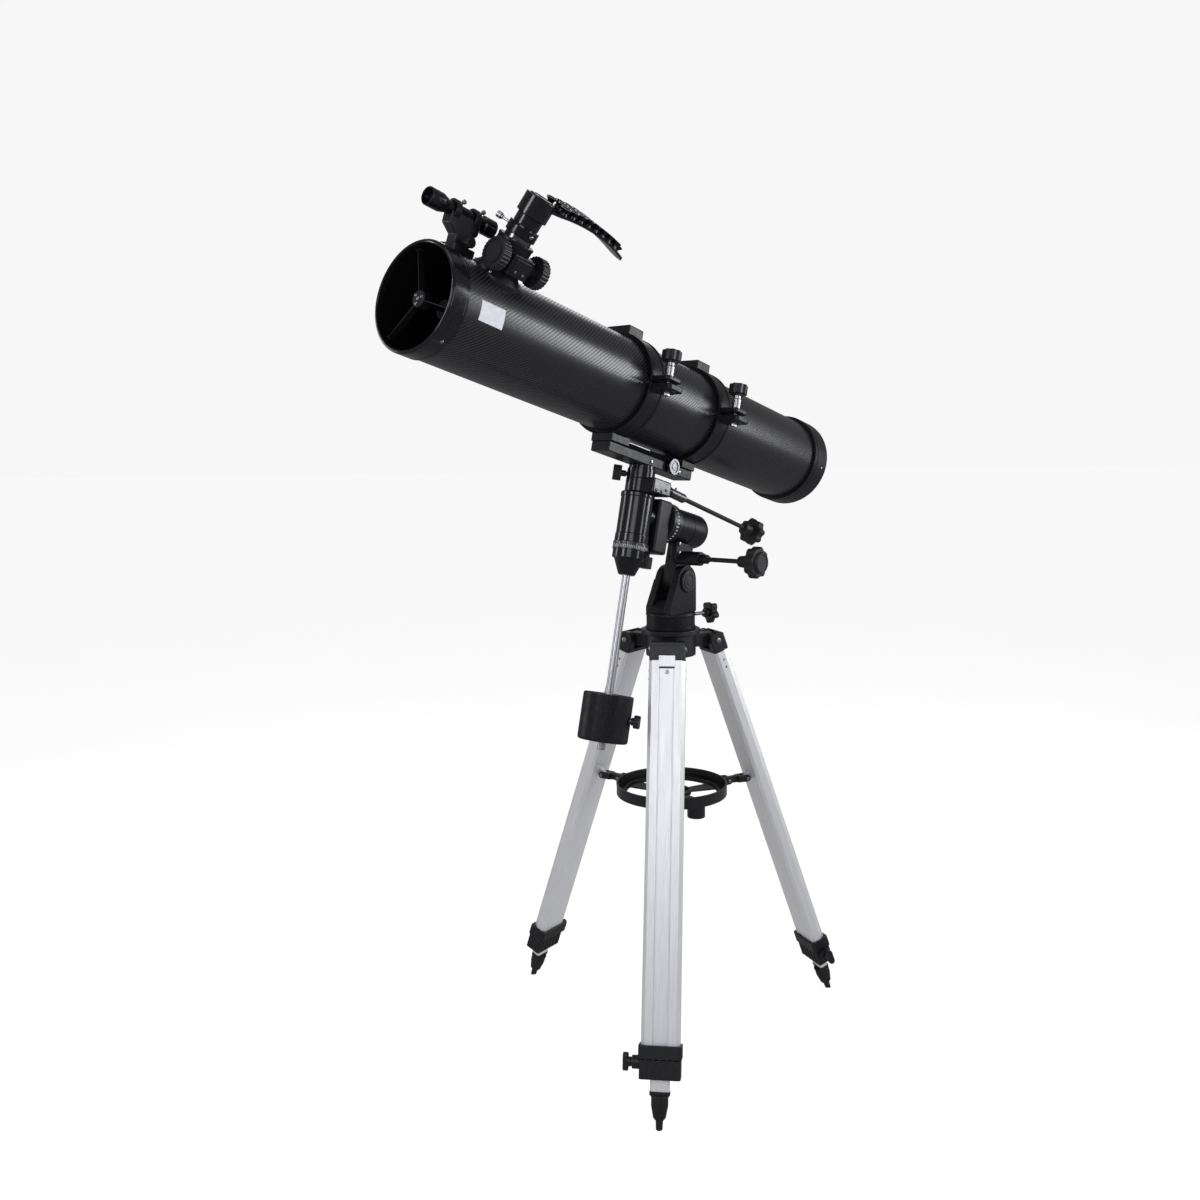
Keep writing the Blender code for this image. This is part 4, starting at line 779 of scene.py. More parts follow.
def make_dec_lock():
    home = POLAR @ at(DEC_AHEAD, 0, 0.0590, about("Z", radians(-49)))
    solid("dec_lock_knurled", "dec_lock", home, "plastic",
          placed(prism(lobed(0.0122, 0.0010, 18, 6), 0.0300, 0.0430, 0.0010), ALONG_X),
          [join(rod(0.0048, 0.0225, 0.0320, 0.0005), ALONG_X), join(rod(0.0030, 0.0145, 0.0300), ALONG_X)],
          "dec_lock_knob")


def make_declination_axle():
    shaft = turned([(0, -0.0950), (0.0120, -0.0950), (0.0132, -0.0935), (0.0225, -0.0710), (0.0255, -0.0700),
                    (0.0260, -0.0690), (0.0260, -0.0573), (0.0122, -0.0573), (0.0122, 0.0683), (0.0200, 0.0683),
                    (0.0200, 0.0737), (0, 0.0737)], FINE, 0.0004)
    solid("dec_axle", "declination_axle", AXLE, "gloss", placed(shaft), [cut(rod(0.0063, -0.10, -0.0750, 0, 48))],
          "dec_shaft")
    solid("dec_circle_ring", "declination_axle", AXLE, "dec_scale",
          placed(turned([(0.0271, -0.0570), (0.0271, -0.0453), (0.0125, -0.0453), (0.0125, -0.0570)], FINE, 0.0006)),
          (), "dec_setting_circle")
    for label, low in (("lower", -0.0570), ("upper", -0.0468)):
        solid(f"dec_circle_band_{label}", "declination_axle", AXLE, "dark_steel",
              placed(pipe(0.0275, 0.0200, low, low + 0.0009, 0.0003, FINE)))
    solid("counterweight_bar", "declination_axle", AXLE, "chrome",
          placed(rod(0.0060, -0.3620, -0.0753, 0.0010, 64)), (), "counterweight_rod")


def make_counterweight():
    middle = (COUNTERWEIGHT_TOP + COUNTERWEIGHT_BOTTOM) / 2
    low, high = COUNTERWEIGHT_BOTTOM, COUNTERWEIGHT_TOP
    body = turned([(0, low), (0.0350, low), (0.0368, low + 0.0006), (0.0380, low + 0.0018), (0.0385, low + 0.0036),
                   (0.0385, high - 0.0030), (0.0381, high - 0.0012), (0.0370, high - 0.0003), (0.0358, high),
                   (0.0352, high), (0.0346, high - 0.0008), (0, high - 0.0008)], FINE)
    solid("counterweight_body", "counterweight", AXLE, "crackle", placed(body),
          [cut(rod(0.0063, low - 0.01, high + 0.01, 0, 48)),
           cut(rod(0.0043, 0.0, 0.050), at(0, 0, middle, about("Z", COUNTERWEIGHT_SCREW) @ ALONG_Y))], "counterweight")
    home = AXLE @ at(0, 0, middle, about("Z", COUNTERWEIGHT_SCREW))
    solid("counterweight_thumb_screw", "counterweight_screw", home, "plastic",
          placed(prism(lobed(0.0110, 0.0042, 3, 24), 0.0430, 0.0530, 0.0016), ALONG_Y),
          [join(rod(0.0060, 0.0400, 0.0440, 0.0006, 40), ALONG_Y)], "counterweight_screw")
    solid("counterweight_screw_thread", "counterweight_screw", home, "steel",
          placed(rod(0.0040, 0.0070, 0.0405), ALONG_Y))


# Cradle and rings ---------------------------------------------------------------------------------


def make_cradle():
    plate = block((-0.1050, -0.0175, -0.1010), (0.1030, 0.0175, -0.0863), 0.0014)
    solid("cradle_bar", "declination_axle", TUBE, "enamel", placed(plate),
          [cut(block((-0.0250, -0.0120, -0.0900), (0.0450, 0.0120, -0.0800), 0.0010)),
           cut(rod(0.0041, -0.0030, 0.0300), at(-0.0480, 0, -0.0912, ALONG_Y))], "cradle_plate")
    # A near-black felt-finished block that fills the gap under the tube between the ring feet: painted shade, not a
    # part of the cradle.
    rib = block((-0.0700, -0.0100, -0.0870), (0.0650, 0.0100, -0.0768), 0.0012)
    solid("cradle_painted_shade_block", "declination_axle", TUBE, "felt", placed(rib))
    home = TUBE @ at(-0.0480, 0, -0.0912)
    head = turned([(0, 0), (0.0038, 0), (0.0038, 0.0178), (0.0060, 0.0178), (0.0060, 0.0195), (0.0126, 0.0195),
                   (0.0130, 0.0202), (0.0130, 0.0246), (0.0122, 0.0258), (0.0090, 0.0258), (0.0084, 0.0246),
                   (0.0060, 0.0246), (0.0054, 0.0256), (0, 0.0258)], 72)
    solid("cradle_bolt_head", "cradle_bolt", home, "dark_steel", placed(head, ALONG_Y), (), "cradle_bolt")
    for number, x in enumerate((-0.0720, 0.0)):
        screw(f"cradle_socket_screw_{number}", "declination_axle", TUBE, at(x, 0.0174, -0.0945, about("X", -pi / 2)),
              0.0032, 0.0018)


def ring_half(start, end, inner=RING_INNER, outer=RING_OUTER, steps=72):
    return arc(0, 0, outer, start, end, steps) + arc(0, 0, inner, end, start, steps)


def ring_section(start, end, half):
    """A half ring whose outer face is raised along both edges."""
    web = prism(ring_half(start, end, RING_INNER, RING_OUTER - 0.0011), -half, half, 0.0003)
    return placed(web, IN_YZ)


def ring_edges(start, end, half):
    edges = []
    for low, high in ((-half, -half + 0.0050), (half - 0.0050, half)):
        edges.append(prism(ring_half(start, end, RING_INNER + 0.0008, RING_OUTER), low, high, 0.0008))
    return edges


def make_ring(name, place):
    half = RING_WIDTH / 2
    home = TUBE @ at(place, 0, 0)
    start, end = radians(181), radians(358)
    foot_start = -0.024 if name == "front" else -half
    foot = block((foot_start, -0.0200, -0.0860), (half + 0.001 * (name == "front"), 0.0200, -0.0735), 0.0014)
    steps = [join(edge, IN_YZ) for edge in ring_edges(start, end, half)]
    ear = prism(rounded_rectangle(RING_WIDTH, 0.0385, 0.0060), -0.0120, -0.0040, 0.0014)
    steps += [join(foot),
              join(ear, at(0, 0.09275, 0)),
              join(rod(0.0112, -0.0142, -0.0036, 0.0012, 64), at(0, RING_BOLT + 0.0030, 0)),
              cut(rod(RING_INNER, -0.05, 0.05, sides=160), ALONG_X)]
    for low, high in ((-half, -0.0062), (0.0062, half)):
        hinge = arc(-RING_HINGE, 0, 0.0060, 0, pi, 20) + [(-RING_HINGE - 0.0050, -0.0060), (-0.0760, -0.0200),
                                                          (-0.0730, -0.0100)]
        steps.append(join(prism(hinge, low, high, 0.0006), IN_YZ))
    steps.append(join(rod(0.0019, -half + 0.001, half - 0.001), at(0, -RING_HINGE, 0, ALONG_X)))
    solid(f"ring_{name}_lower_half", "declination_axle", home, "enamel", ring_section(start, end, half), steps,
          f"ring_lower_{name}")
    lining = prism(ring_half(radians(184), radians(354), TUBE_RADIUS + 0.0001, RING_INNER + 0.0006), -half - 0.0012,
                   half + 0.0012, 0.0001)
    solid(f"ring_{name}_lower_felt", "declination_axle", home, "felt", placed(lining, IN_YZ))
    nut(f"ring_{name}_nut", "declination_axle", home, at(0, RING_BOLT, 0), 0.0088, -0.0184, -0.0142, 0.0030)
    solid(f"ring_{name}_washer", "declination_axle", home, "steel",
          placed(pipe(0.0060, 0.0032, -0.0149, -0.0140, 0.0002, 40), at(0, RING_BOLT, 0)))
    for side, label in ((1, "a"), (-1, "b")):
        turn = ALONG_X if side > 0 else about("Y", -pi / 2)
        screw(f"ring_{name}_hinge_pin_{label}", "declination_axle", home, at(side * half, -RING_HINGE, 0, turn),
              0.0030, 0.0012, "steel")


def make_cap(name, place):
    half = RING_WIDTH / 2
    home = TUBE @ at(place, 0, 0)
    start, end = radians(1.5), radians(179)
    hinge = arc(-RING_HINGE, 0, 0.0060, -pi, 0, 20) + [(-0.0730, 0.0100), (-0.0760, 0.0200),
                                                       (-RING_HINGE - 0.0050, 0.0060)]
    steps = [join(edge, IN_YZ) for edge in ring_edges(start, end, half)]
    ear = prism(rounded_rectangle(RING_WIDTH, 0.0335, 0.0060), 0.0020, 0.0080, 0.0012)
    steps += [join(block((-half, -0.0220, 0.0700), (half, 0.0220, 0.0870), 0.0018)),
              join(ear, at(0, 0.09025, 0)),
              join(rod(0.0112, 0.0016, 0.0082, 0.0012, 64), at(0, RING_BOLT + 0.0010, 0)),
              join(prism(hinge, -0.0058, 0.0058, 0.0006), IN_YZ),
              cut(rod(RING_INNER, -0.05, 0.05, sides=160), ALONG_X),
              cut(rod(0.0023, -0.02, 0.02), at(0, -RING_HINGE, 0, ALONG_X)),
              cut(rod(0.0033, -0.01, 0.02), at(0, RING_BOLT, 0))]
    solid(f"ring_{name}_upper_half", f"ring_{name}", home, "enamel", ring_section(start, end, half), steps,
          f"ring_upper_{name}")
    lining = prism(ring_half(radians(6), radians(176), TUBE_RADIUS + 0.0001, RING_INNER + 0.0006), -half - 0.0012,
                   half + 0.0012, 0.0001)
    solid(f"ring_{name}_upper_felt", f"ring_{name}", home, "felt", placed(lining, IN_YZ))
    knob = home @ at(0, RING_BOLT, 0)
    solid(f"ring_{name}_knob", f"ring_knob_{name}", knob, "plastic",
          placed(prism(lobed(0.0145, 0.0018, 8, 14), 0.0320, 0.0475, 0.0014)),
          [join(rod(0.0090, 0.0300, 0.0330, 0.0006, 48)), join(rod(0.0100, 0.0465, 0.0482, 0.0008, 48))],
          f"ring_clamp_knob_{name}")
    collar = turned([(0, 0.0083), (0.0067, 0.0083), (0.0067, 0.0240), (0.0060, 0.0250), (0.0060, 0.0325), (0, 0.0325)],
                    48, 0.0004)
    solid(f"ring_{name}_bolt", f"ring_knob_{name}", knob, "chrome", placed(collar),
          [join(rod(0.0029, -0.0034, 0.0100, 0.0003))])


# Tube ---------------------------------------------------------------------------------------------


def make_tube():
    lean = about("X", -FOCUSER_LEAN)
    wall = turned([(TUBE_RADIUS, TUBE_END), (TUBE_RADIUS, TUBE_MOUTH), (TUBE_RADIUS - TUBE_WALL, TUBE_MOUTH),
                   (TUBE_RADIUS - TUBE_WALL, TUBE_END)], 176)
    barrel = solid("tube_barrel", "tube", TUBE, "carbon", placed(wall, ALONG_X),
                   [cut(rod(0.0195, 0.050, 0.090, sides=ROUND), at(FOCUSER_PLACE, 0, 0) @ lean)], "main_tube")
    barrel.data.materials.append(FINISHES["bore"])
    back = TUBE.inverted()
    for face in barrel.data.polygons:
        middle = back @ face.center
        if Vector((0, middle.y, middle.z)).length < TUBE_RADIUS - TUBE_WALL / 2:
            face.material_index = 1
    sleeve = TUBE_RADIUS + GAP
    front = turned([(0.0710, 0.4550), (0.0720, 0.4560), (0.0720, 0.4590), (0.0716, 0.4594), (0.0716, 0.4602),
                    (0.0720, 0.4606), (0.0720, 0.4800), (0.0717, 0.4818), (0.0709, 0.4832), (0.0696, 0.4840),
                    (0.0684, 0.4840), (0.0674, 0.4832), (0.0670, 0.4818), (0.0670, TUBE_MOUTH + GAP),
                    (sleeve, TUBE_MOUTH + GAP), (sleeve, 0.4550)], 176)
    solid("tube_front_ring", "tube", TUBE, "gloss", placed(front, ALONG_X), (), "front_ring")
    for number, angle in enumerate((139.9, 19.9, 259.9)):
        for label, x in (("front", 0.4665),):
            turn = about("X", -radians(angle))
            screw(f"front_ring_screw_{number}", "tube", TUBE, turn @ at(x, 0, 0.0719), 0.0023, 0.0012)
    rear = turned([(0, REAR_FACE), (0.0560, REAR_FACE), (0.0570, REAR_FACE + 0.0012), (0.0600, REAR_FACE + 0.0012),
                   (0.0610, REAR_FACE), (0.0700, REAR_FACE), (0.0725, REAR_FACE + 0.0008),
                   (0.0743, REAR_FACE + 0.0025), (0.0753, REAR_FACE + 0.0050), (0.0757, REAR_FACE + 0.0080),
                   (0.0757, -0.3850), (0.0751, -0.3845), (0.0751, -0.3830), (0.0757, -0.3825), (0.0757, -0.3770),
                   (0.0750, -0.3760), (sleeve, -0.3760), (sleeve, TUBE_END - GAP), (0.0640, TUBE_END - GAP),
                   (0.0640, REAR_FACE + 0.0050), (0.0450, REAR_FACE + 0.0050), (0.0450, -0.3973), (0, -0.3973)], 176)
    solid("tube_rear_cell", "tube", TUBE, "enamel", placed(rear, ALONG_X), (), "rear_cell")
    for number in range(3):
        turn = about("X", radians(120 * number + 20))
        screw(f"rear_cell_screw_{number}", "tube", TUBE, turn @ at(-0.4020, 0, 0.0759), 0.0026, 0.0014)
        backward = at(REAR_FACE, 0, 0.0480, about("Y", -pi / 2))
        screw(f"collimation_screw_{number}", "tube", TUBE, turn @ backward, 0.0060, 0.0060, "steel")
        other = about("X", radians(120 * number + 42))
        screw(f"collimation_lock_{number}", "tube", TUBE, other @ backward, 0.0036, 0.0032)
    glass = turned([(0, -0.3970), (0.0560, -0.3970), (0.0570, -0.3960), (0.0570, -0.3866), (0.0564, -0.3860),
                    (0.0480, -0.3866), (0.0400, -0.3870), (0.0300, -0.38735), (0.0200, -0.3876), (0.0100, -0.38775),
                    (0, -0.3878)], FINE)
    solid("tube_primary_mirror", "tube", TUBE, "mirror", placed(glass, ALONG_X), (), "primary_mirror")


def make_spider():
    lean = about("X", -FOCUSER_LEAN)
    steps = []
    for angle in SPIDER_ANGLES:
        steps.append(join(block((SPIDER_PLACE - 0.0045, 0.0080, -0.0006), (SPIDER_PLACE + 0.0045, 0.0660, 0.0006)),
                          about("X", angle)))
        steps.append(join(block((SPIDER_PLACE - 0.0045, 0.0655, -0.0040), (SPIDER_PLACE + 0.0045, 0.0677, 0.0040),
                                0.0005), about("X", angle)))
    steps.append(join(rod(0.0040, FOCUSER_PLACE + 0.0400, SPIDER_PLACE), ALONG_X))
    steps.append(join(rod(0.0125, FOCUSER_PLACE - 0.0200, FOCUSER_PLACE + 0.0450, 0.0008, 64), ALONG_X))
    slope = at(FOCUSER_PLACE, 0, 0) @ lean @ about("Y", -pi / 4)
    steps.append(cut(block((-0.05, -0.05, -0.0034), (0.05, 0.05, 0.06)), slope))
    hub = turned([(0, SPIDER_PLACE - 0.0070), (0.0110, SPIDER_PLACE - 0.0070), (0.0110, SPIDER_PLACE + 0.0046),
                  (0.0100, SPIDER_PLACE + 0.0060), (0, SPIDER_PLACE + 0.0060)], 72, 0.0005)
    solid("spider_vanes", "tube", TUBE, "enamel", placed(hub, ALONG_X), steps, "spider")
    ellipse = [(x * 1.414, y) for x, y in arc(0, 0, 0.0150, 0, 2 * pi, 72)[:-1]]
    solid("spider_diagonal", "tube", TUBE, "mirror", placed(prism(ellipse, -0.0030, 0.0, 0.0003), slope), (),
          "secondary_mirror")
    for number in range(3):
        turn = about("X", radians(120 * number + 45))
        screw(f"spider_screw_{number}", "tube", TUBE, turn @ at(SPIDER_PLACE + 0.0059, 0, 0.0066, ALONG_X),
              0.0021, 0.0014)
    screw("spider_centre_screw", "tube", TUBE, at(SPIDER_PLACE + 0.0059, 0, 0, ALONG_X), 0.0026, 0.0016)


def make_label():
    """A blank paper label that follows the tube."""
    form = bmesh.new()
    grid = []
    for layer, radius in enumerate((TUBE_RADIUS + 0.00005, TUBE_RADIUS + 0.00030)):
        for i in range(2):
            for k in range(13):
                angle = radians(85.3 + 20.4 * k / 12)
                x = 0.3932 + 0.0405 * i
                grid.append(form.verts.new((x, radius * sin(angle), radius * cos(angle))))
    def vertex(layer, i, k):
        return grid[layer * 26 + i * 13 + k]
    for k in range(12):
        for layer in (0, 1):
            form.faces.new([vertex(layer, 0, k), vertex(layer, 1, k), vertex(layer, 1, k + 1), vertex(layer, 0, k + 1)])
        for i in (0, 1):
            form.faces.new([vertex(0, i, k), vertex(0, i, k + 1), vertex(1, i, k + 1), vertex(1, i, k)])
    for k in (0, 12):
        form.faces.new([vertex(0, 0, k), vertex(0, 1, k), vertex(1, 1, k), vertex(1, 0, k)])
    solid("tube_blank_label", "tube", TUBE, "label", placed(finished(form)))


# Focuser ------------------------------------------------------------------------------------------


def make_focuser():
    tower = turned([(0, 0.0520), (0.0350, 0.0520), (0.0350, 0.0650), (0.0340, 0.0690), (0.0310, 0.0722),
                    (0.0268, 0.0768), (0.0252, 0.0800), (0.0240, 0.0830), (0.0240, 0.1140), (0.0246, 0.1144),
                    (0.0246, 0.1174), (0.0240, 0.1180), (0, 0.1180)], FINE, 0.0004)
    solid("focuser_body", "tube", FOCUSER, "enamel", placed(tower),
          [join(block((-0.0180, 0.0050, 0.0800), (0.0180, 0.0340, 0.1080), 0.0024)),
           join(block((-0.0130, 0.0240, 0.0840), (0.0130, 0.0352, 0.1040), 0.0016)),
           join(rod(0.0080, -0.0270, 0.0270, 0.0010, 48), at(0, PINION_OFFSET, PINION_HEIGHT, ALONG_X)),
           cut(rod(TUBE_RADIUS + GAP, -0.06, 0.06, sides=176), ALONG_X),
           cut(rod(DRAWTUBE_RADIUS + GAP, 0.04, 0.14, sides=FINE)),
           cut(rod(0.0033, -0.04, 0.04), at(0, PINION_OFFSET, PINION_HEIGHT, ALONG_X))], "focuser_base")
    for number, (x, z) in enumerate(((-0.0065, 0.0872), (0.0065, 0.0872))):
        screw(f"focuser_plate_screw_{number}", "tube", FOCUSER, at(x, 0.0351, z, about("X", -pi / 2)), 0.0020, 0.0013)
    for number, angle in enumerate((35, 145, 215, 325)):
        turn = about("Z", radians(angle))
        height = (TUBE_RADIUS ** 2 - (0.0300 * sin(radians(angle))) ** 2) ** 0.5
        screw(f"focuser_base_screw_{number}", "tube", FOCUSER, turn @ at(0.0312, 0, max(height, 0.0712)), 0.0021, 0.0016)
    inside = DRAWTUBE_RADIUS - 0.0020
    body = turned([(DRAWTUBE_RADIUS, 0.0540), (DRAWTUBE_RADIUS, 0.1236), (inside, 0.1236), (inside, 0.0540)], FINE,
                  0.0002)
    solid("drawtube_barrel", "drawtube", FOCUSER, "dark_chrome", placed(body), (), "drawtube")
    collar = [(0.0203, 0.1238)]
    for step in range(6):
        z = 0.1246 + step * 0.0018
        collar += [(0.0207, z), (0.0207, z + 0.0010), (0.0203, z + 0.0013), (0.0203, z + 0.0016)]
    collar += [(0.0206, 0.1358), (0.0200, 0.1378), (inside, 0.1378), (inside, 0.1238)]
    solid("drawtube_collar", "drawtube", FOCUSER, "gloss", placed(turned(collar, FINE)))
    thumb = at(0, 0, 0.1305, about("Z", radians(-62)) @ ALONG_X)
    solid("eyepiece_thumb_screw", "drawtube", FOCUSER, "chrome",
          placed(prism(lobed(0.0044, 0.0006, 14, 4), 0.0330, 0.0400, 0.0006), thumb),
          [join(rod(0.0018, 0.0170, 0.0340, 0, 24), thumb), join(rod(0.0028, 0.0310, 0.0335, 0.0003, 24), thumb)])
    screw("collar_screw", "drawtube", FOCUSER, about("Z", radians(88)) @ at(0.0205, 0, 0.1310, ALONG_X), 0.0024, 0.0026)
    ocular = turned([(0, 0.1150), (0.0157, 0.1150), (0.0157, 0.1383), (0.0172, 0.1383), (0.0172, 0.1500),
                     (0.0168, 0.1504), (0.0168, 0.1512), (0.0172, 0.1516), (0.0172, 0.1740), (0.0165, 0.1765),
                     (0.0150, 0.1778), (0.0120, 0.1780), (0.0100, 0.1764), (0.0085, 0.1745), (0, 0.1745)], FINE, 0.0002)
    solid("eyepiece_body", "drawtube", FOCUSER, "gloss", placed(ocular), (), "eyepiece")
    lens = turned([(0, 0.1740), (0.0083, 0.1740), (0.0083, 0.1748), (0.0060, 0.1756), (0.0030, 0.1761), (0, 0.1762)], 64)
    solid("eyepiece_lens", "drawtube", FOCUSER, "glass", placed(lens))

    knobs = FOCUSER @ at(0, PINION_OFFSET, PINION_HEIGHT)
    steps = []
    for turn in (0, pi):
        side = about("Z", turn) @ ALONG_X
        if turn:
            steps.append(join(focus_disc(), side))
        steps.append(cut(pipe(0.0158, 0.0128, 0.0404, 0.0500, 0.0, 72), side))
        steps.append(join(rod(0.0075, 0.0265, 0.0290, 0.0005, 48), side))
    solid("focus_knob_pair", "focus_knobs", knobs, "plastic", placed(focus_disc(), ALONG_X),
          [join(rod(0.0030, -0.0400, 0.0400), ALONG_X), *steps], "focus_knobs")


def focus_disc():
    return prism(lobed(0.0205, 0.0011, 26, 6), 0.0285, 0.0415, 0.0012)


def plate_top(x):
    """Height and slope of the phone plate's bowed upper face."""
    height = ((PLATE_RADIUS - 0.0032) ** 2 - (x - PLATE_CENTRE[0]) ** 2) ** 0.5
    return PLATE_CENTRE[1] + height, -(x - PLATE_CENTRE[0]) / height


PLATE_CENTRE = (-0.070, -0.142)
PLATE_RADIUS = 0.322


def make_adapter():
    x, z = PLATE_CENTRE
    top = arc(x, z, PLATE_RADIUS - 0.0032, radians(78.4), radians(107.35), 48)
    bottom = arc(x, z, PLATE_RADIUS - 0.0065, radians(107.35), radians(78.4), 48)
    plan = arc(-0.1490, 0, 0.0160, pi / 2, 3 * pi / 2, 32) + [(-0.095, -0.0250), (-0.020, -0.0250), (-0.005, -0.0180),
                                                            (-0.005, 0.0180), (-0.020, 0.0250), (-0.095, 0.0250)]
    solid("phone_plate", "phone_adapter", FOCUSER, "gloss", placed(prism(top + bottom, -0.030, 0.030), IN_XZ),
          [("INTERSECT", prism(plan, 0.05, 0.25, 0.0), Matrix.Identity(4)),
           join(turned([(0, 0.1510), (0.0200, 0.1510), (0.0206, 0.1518), (0.0206, 0.1755), (0.0200, 0.1763),
                        (0, 0.1763)], FINE)),
           cut(rod(0.0175, 0.10, 0.20, sides=FINE))], "phone_adapter")
    cups = []
    for row, y in enumerate((-0.0168, 0.0, 0.0168)):
        for step in range(9):
            x = -0.0290 - 0.0143 * step - (0.0071 if row == 1 else 0.0)
            if abs(y) > 0 and x < -0.1350 or x < -0.1560:
                continue
            height, slope = plate_top(x)
            cup = turned([(0, -0.0010), (0.0056, -0.0010), (0.0048, 0.0010), (0.0042, 0.0028), (0.0050, 0.0046),
                          (0.0068, 0.0064), (0.0073, 0.0080), (0.0071, 0.0086), (0.0064, 0.0086), (0.0046, 0.0070),
                          (0, 0.0058)], 36)
            cups.append((cup, at(x, y, height, about("Y", -slope))))
    solid("phone_suction_cups", "phone_adapter", FOCUSER, "gloss", placed(gathered(cups)))


# Finder -------------------------------------------------------------------------------------------


def make_finder():
    axis = at(0, 0, FINDER_RISE, ALONG_X)
    barrel = turned([(0, 0.3900), (0.0105, 0.3900), (0.0115, 0.3910), (0.0115, 0.4080), (0.0100, 0.4092),
                     (0.0088, 0.4100), (0.0088, 0.4700), (0.0096, 0.4720), (0.0104, 0.4740), (0.0112, 0.4780),
                     (0.0118, 0.4800), (0.0118, 0.4880), (0.0114, 0.4884), (0.0114, 0.4892), (0.0118, 0.4896),
                     (0.0118, 0.4988), (0.0112, 0.5000), (0.0100, 0.5000), (0.0096, 0.4960), (0.0095, 0.4900),
                     (0, 0.4900)], 72, 0.0002)
    solid("finder_tube", "tube", FINDER, "gloss", placed(barrel, axis), (), "finder_scope")
    front = turned([(0, 0.4890), (0.0094, 0.4890), (0.0094, 0.4905), (0.0050, 0.4918), (0, 0.4922)], 64)
    solid("finder_objective", "tube", FINDER, "glass", placed(front, axis))
    back = turned([(0, 0.3894), (0.0050, 0.3896), (0.0070, 0.3902), (0.0070, 0.3912), (0, 0.3912)], 48)
    solid("finder_eye_lens", "tube", FINDER, "glass", placed(back, axis))
    shoe = block((0.4195, -0.0150, 0.0620), (0.4540, 0.0150, 0.0790), 0.0014)
    post = [(0.4250, 0.0700), (0.4500, 0.0700), (0.4500, 0.0900), (0.4640, 0.1000), (0.4640, 0.1160), (0.4160, 0.1160),
            (0.4160, 0.1000), (0.4250, 0.0900)]
    solid("finder_stand", "tube", FINDER, "plastic", placed(shoe),
          [join(prism(post, -0.0085, 0.0085, 0.0014), IN_XZ),
           join(pipe(0.0128, 0.0100, 0.4200, 0.4285, 0.0008, 64), axis),
           join(pipe(0.0128, 0.0100, 0.4530, 0.4615, 0.0008, 64), axis),
           join(rod(0.0030, 0.0080, 0.0200), at(0.4380, 0, 0.0840, ALONG_Y)),
           cut(rod(0.0091, 0.38, 0.50, sides=ROUND), axis),
           cut(rod(TUBE_RADIUS + GAP, 0.38, 0.50, sides=176), ALONG_X)], "finder_bracket")
    solid("finder_clamp_screw", "tube", FINDER, "plastic",
          placed(prism(lobed(0.0070, 0.0007, 12, 6), 0.0190, 0.0270, 0.0008), at(0.4380, 0, 0.0840, ALONG_Y)))
    for number, (x, angle) in enumerate(((0.4242, 62), (0.4242, -62), (0.4572, 62), (0.4572, -62))):
        turn = axis @ about("Z", radians(180 - angle))
        matrix = turn @ at(0.0126, 0, x, ALONG_X)
        solid(f"finder_adjuster_{number}", "tube", FINDER, "chrome",
              placed(rod(0.0014, -0.0030, 0.0060, 0, 20), matrix),
              [join(prism(lobed(0.0030, 0.0004, 10, 4), 0.0050, 0.0085, 0.0004), matrix)])


# Studio -------------------------------------------------------------------------------------------


def stage_finish():
    made = Finish("studio_paper")
    grain = made.noise(3.0, 2.0)
    paper = made.mix(made.between(grain, 0.0, 1.0), (0.30, 0.30, 0.305), (0.32, 0.32, 0.325))
    made.set(Base_Color=paper, Roughness=0.9, Emission_Color=(1.0, 1.0, 1.0, 1.0), Emission_Strength=0.86)
    return made.material


def lamp(name, heading, rise, distance, size, power):
    """A softbox on a heading and at an elevation from the mount's head, facing it."""
    target = Vector((0, 0, 0.85))
    heading, rise = radians(heading), radians(rise)
    place = target + distance * Vector((cos(heading) * cos(rise), sin(heading) * cos(rise), sin(rise)))
    data = bpy.data.lights.new(name, "AREA")
    data.shape = "RECTANGLE"
    data.size, data.size_y = size
    data.energy = power
    data.color = (0.95, 0.965, 1.0)
    made = bpy.data.objects.new(name, data)
    bpy.context.scene.collection.objects.link(made)
    made.location = place
    made.rotation_euler = (target - place).to_track_quat("-Z", "Y").to_euler()


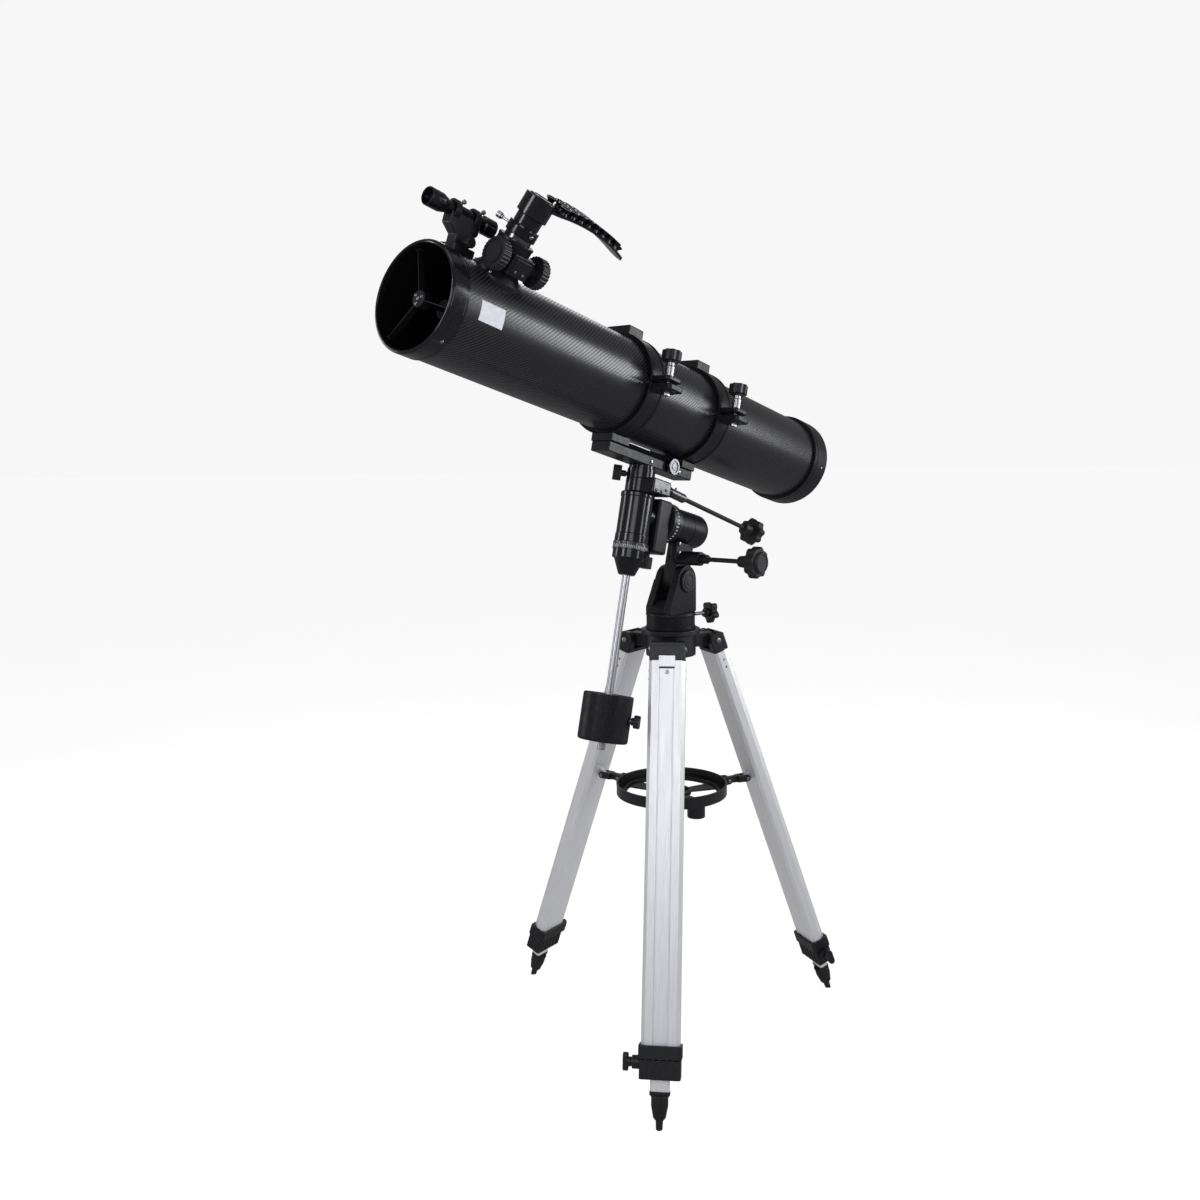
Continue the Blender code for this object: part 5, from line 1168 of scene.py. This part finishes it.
def make_studio():
    reach = 40.0
    floor_mesh = bpy.data.meshes.new("floor")
    floor_mesh.from_pydata([(-reach, -reach, 0), (reach, -reach, 0), (reach, reach, 0), (-reach, reach, 0)], [],
                           [(0, 1, 2, 3)])
    floor_mesh.materials.append(stage_finish())
    floor = bpy.data.objects.new("studio_floor", floor_mesh)
    bpy.context.scene.collection.objects.link(floor)
    floor.location.z = -0.0005
    floor.visible_glossy = False

    world = bpy.data.worlds.new("studio_air")
    world.use_nodes = True
    tree = world.node_tree
    dim = tree.nodes["Background"]
    dim.inputs["Color"].default_value = (1.0, 1.0, 1.0, 1)
    dim.inputs["Strength"].default_value = 0.22
    seen = tree.nodes.new("ShaderNodeBackground")
    seen.inputs["Color"].default_value = (0.93, 0.93, 0.935, 1)
    mix = tree.nodes.new("ShaderNodeMixShader")
    tree.links.new(tree.nodes.new("ShaderNodeLightPath").outputs["Is Camera Ray"], mix.inputs[0])
    tree.links.new(dim.outputs[0], mix.inputs[1])
    tree.links.new(seen.outputs[0], mix.inputs[2])
    tree.links.new(mix.outputs[0], tree.nodes["World Output"].inputs["Surface"])
    bpy.context.scene.world = world

    lamp("soft_right", 13, 10, 2.4, (0.7, 1.1), 26)
    lamp("soft_front_right", -24, 8, 2.4, (0.30, 1.4), 10)
    lamp("soft_front_left", -128, 22, 2.3, (0.40, 1.4), 16)
    lamp("soft_left", 176, 6, 2.3, (0.45, 1.4), 10)
    lamp("soft_front", -88, 20, 2.8, (1.3, 1.2), 14)
    lamp("soft_top", -90, 76, 2.4, (1.4, 1.0), 6)
    lamp("soft_back", 95, 30, 2.6, (1.2, 0.8), 5)


def make_camera():
    forward = Vector((-0.1265, 0.983, -0.1336)).normalized()
    level = Vector((0.9918, 0.1276, 0)).normalized()
    rise = level.cross(forward).normalized()
    roll = -0.014
    right = cos(roll) * level + sin(roll) * rise
    up = cos(roll) * rise - sin(roll) * level
    spot = ROW @ Vector((0.121235, -1.826506, 0.964454))
    data = bpy.data.cameras.new("camera")
    data.sensor_width = 36
    data.lens = 34.567
    camera = bpy.data.objects.new("camera", data)
    bpy.context.scene.collection.objects.link(camera)
    camera.matrix_world = Matrix(((right.x, up.x, -forward.x, spot.x), (right.y, up.y, -forward.y, spot.y),
                                  (right.z, up.z, -forward.z, spot.z), (0, 0, 0, 1)))
    bpy.context.scene.camera = camera
    bpy.context.scene.view_settings.view_transform = "Standard"


make_hub()
for leg, heading in LEG_HEADINGS.items():
    make_bracket(leg, LEGS[leg])
    make_channel(leg, LEGS[leg])
    make_clamp(leg, LEGS[leg])
    make_inner_leg(leg, LEGS[leg], heading)
    make_wing_screw(leg, LEGS[leg])
    make_arm(leg, heading)
make_tray()
make_azimuth_base()
make_latitude_bolt()
make_ra_housing()
make_ra_slow_motion()
make_declination_head()
make_dec_slow_motion()
make_dec_lock()
make_declination_axle()
make_counterweight()
make_cradle()
for ring, place in RING_PLACES.items():
    make_ring(ring, place)
    make_cap(ring, place)
make_tube()
make_spider()
make_label()
make_focuser()
make_adapter()
make_finder()
make_studio()
make_camera()
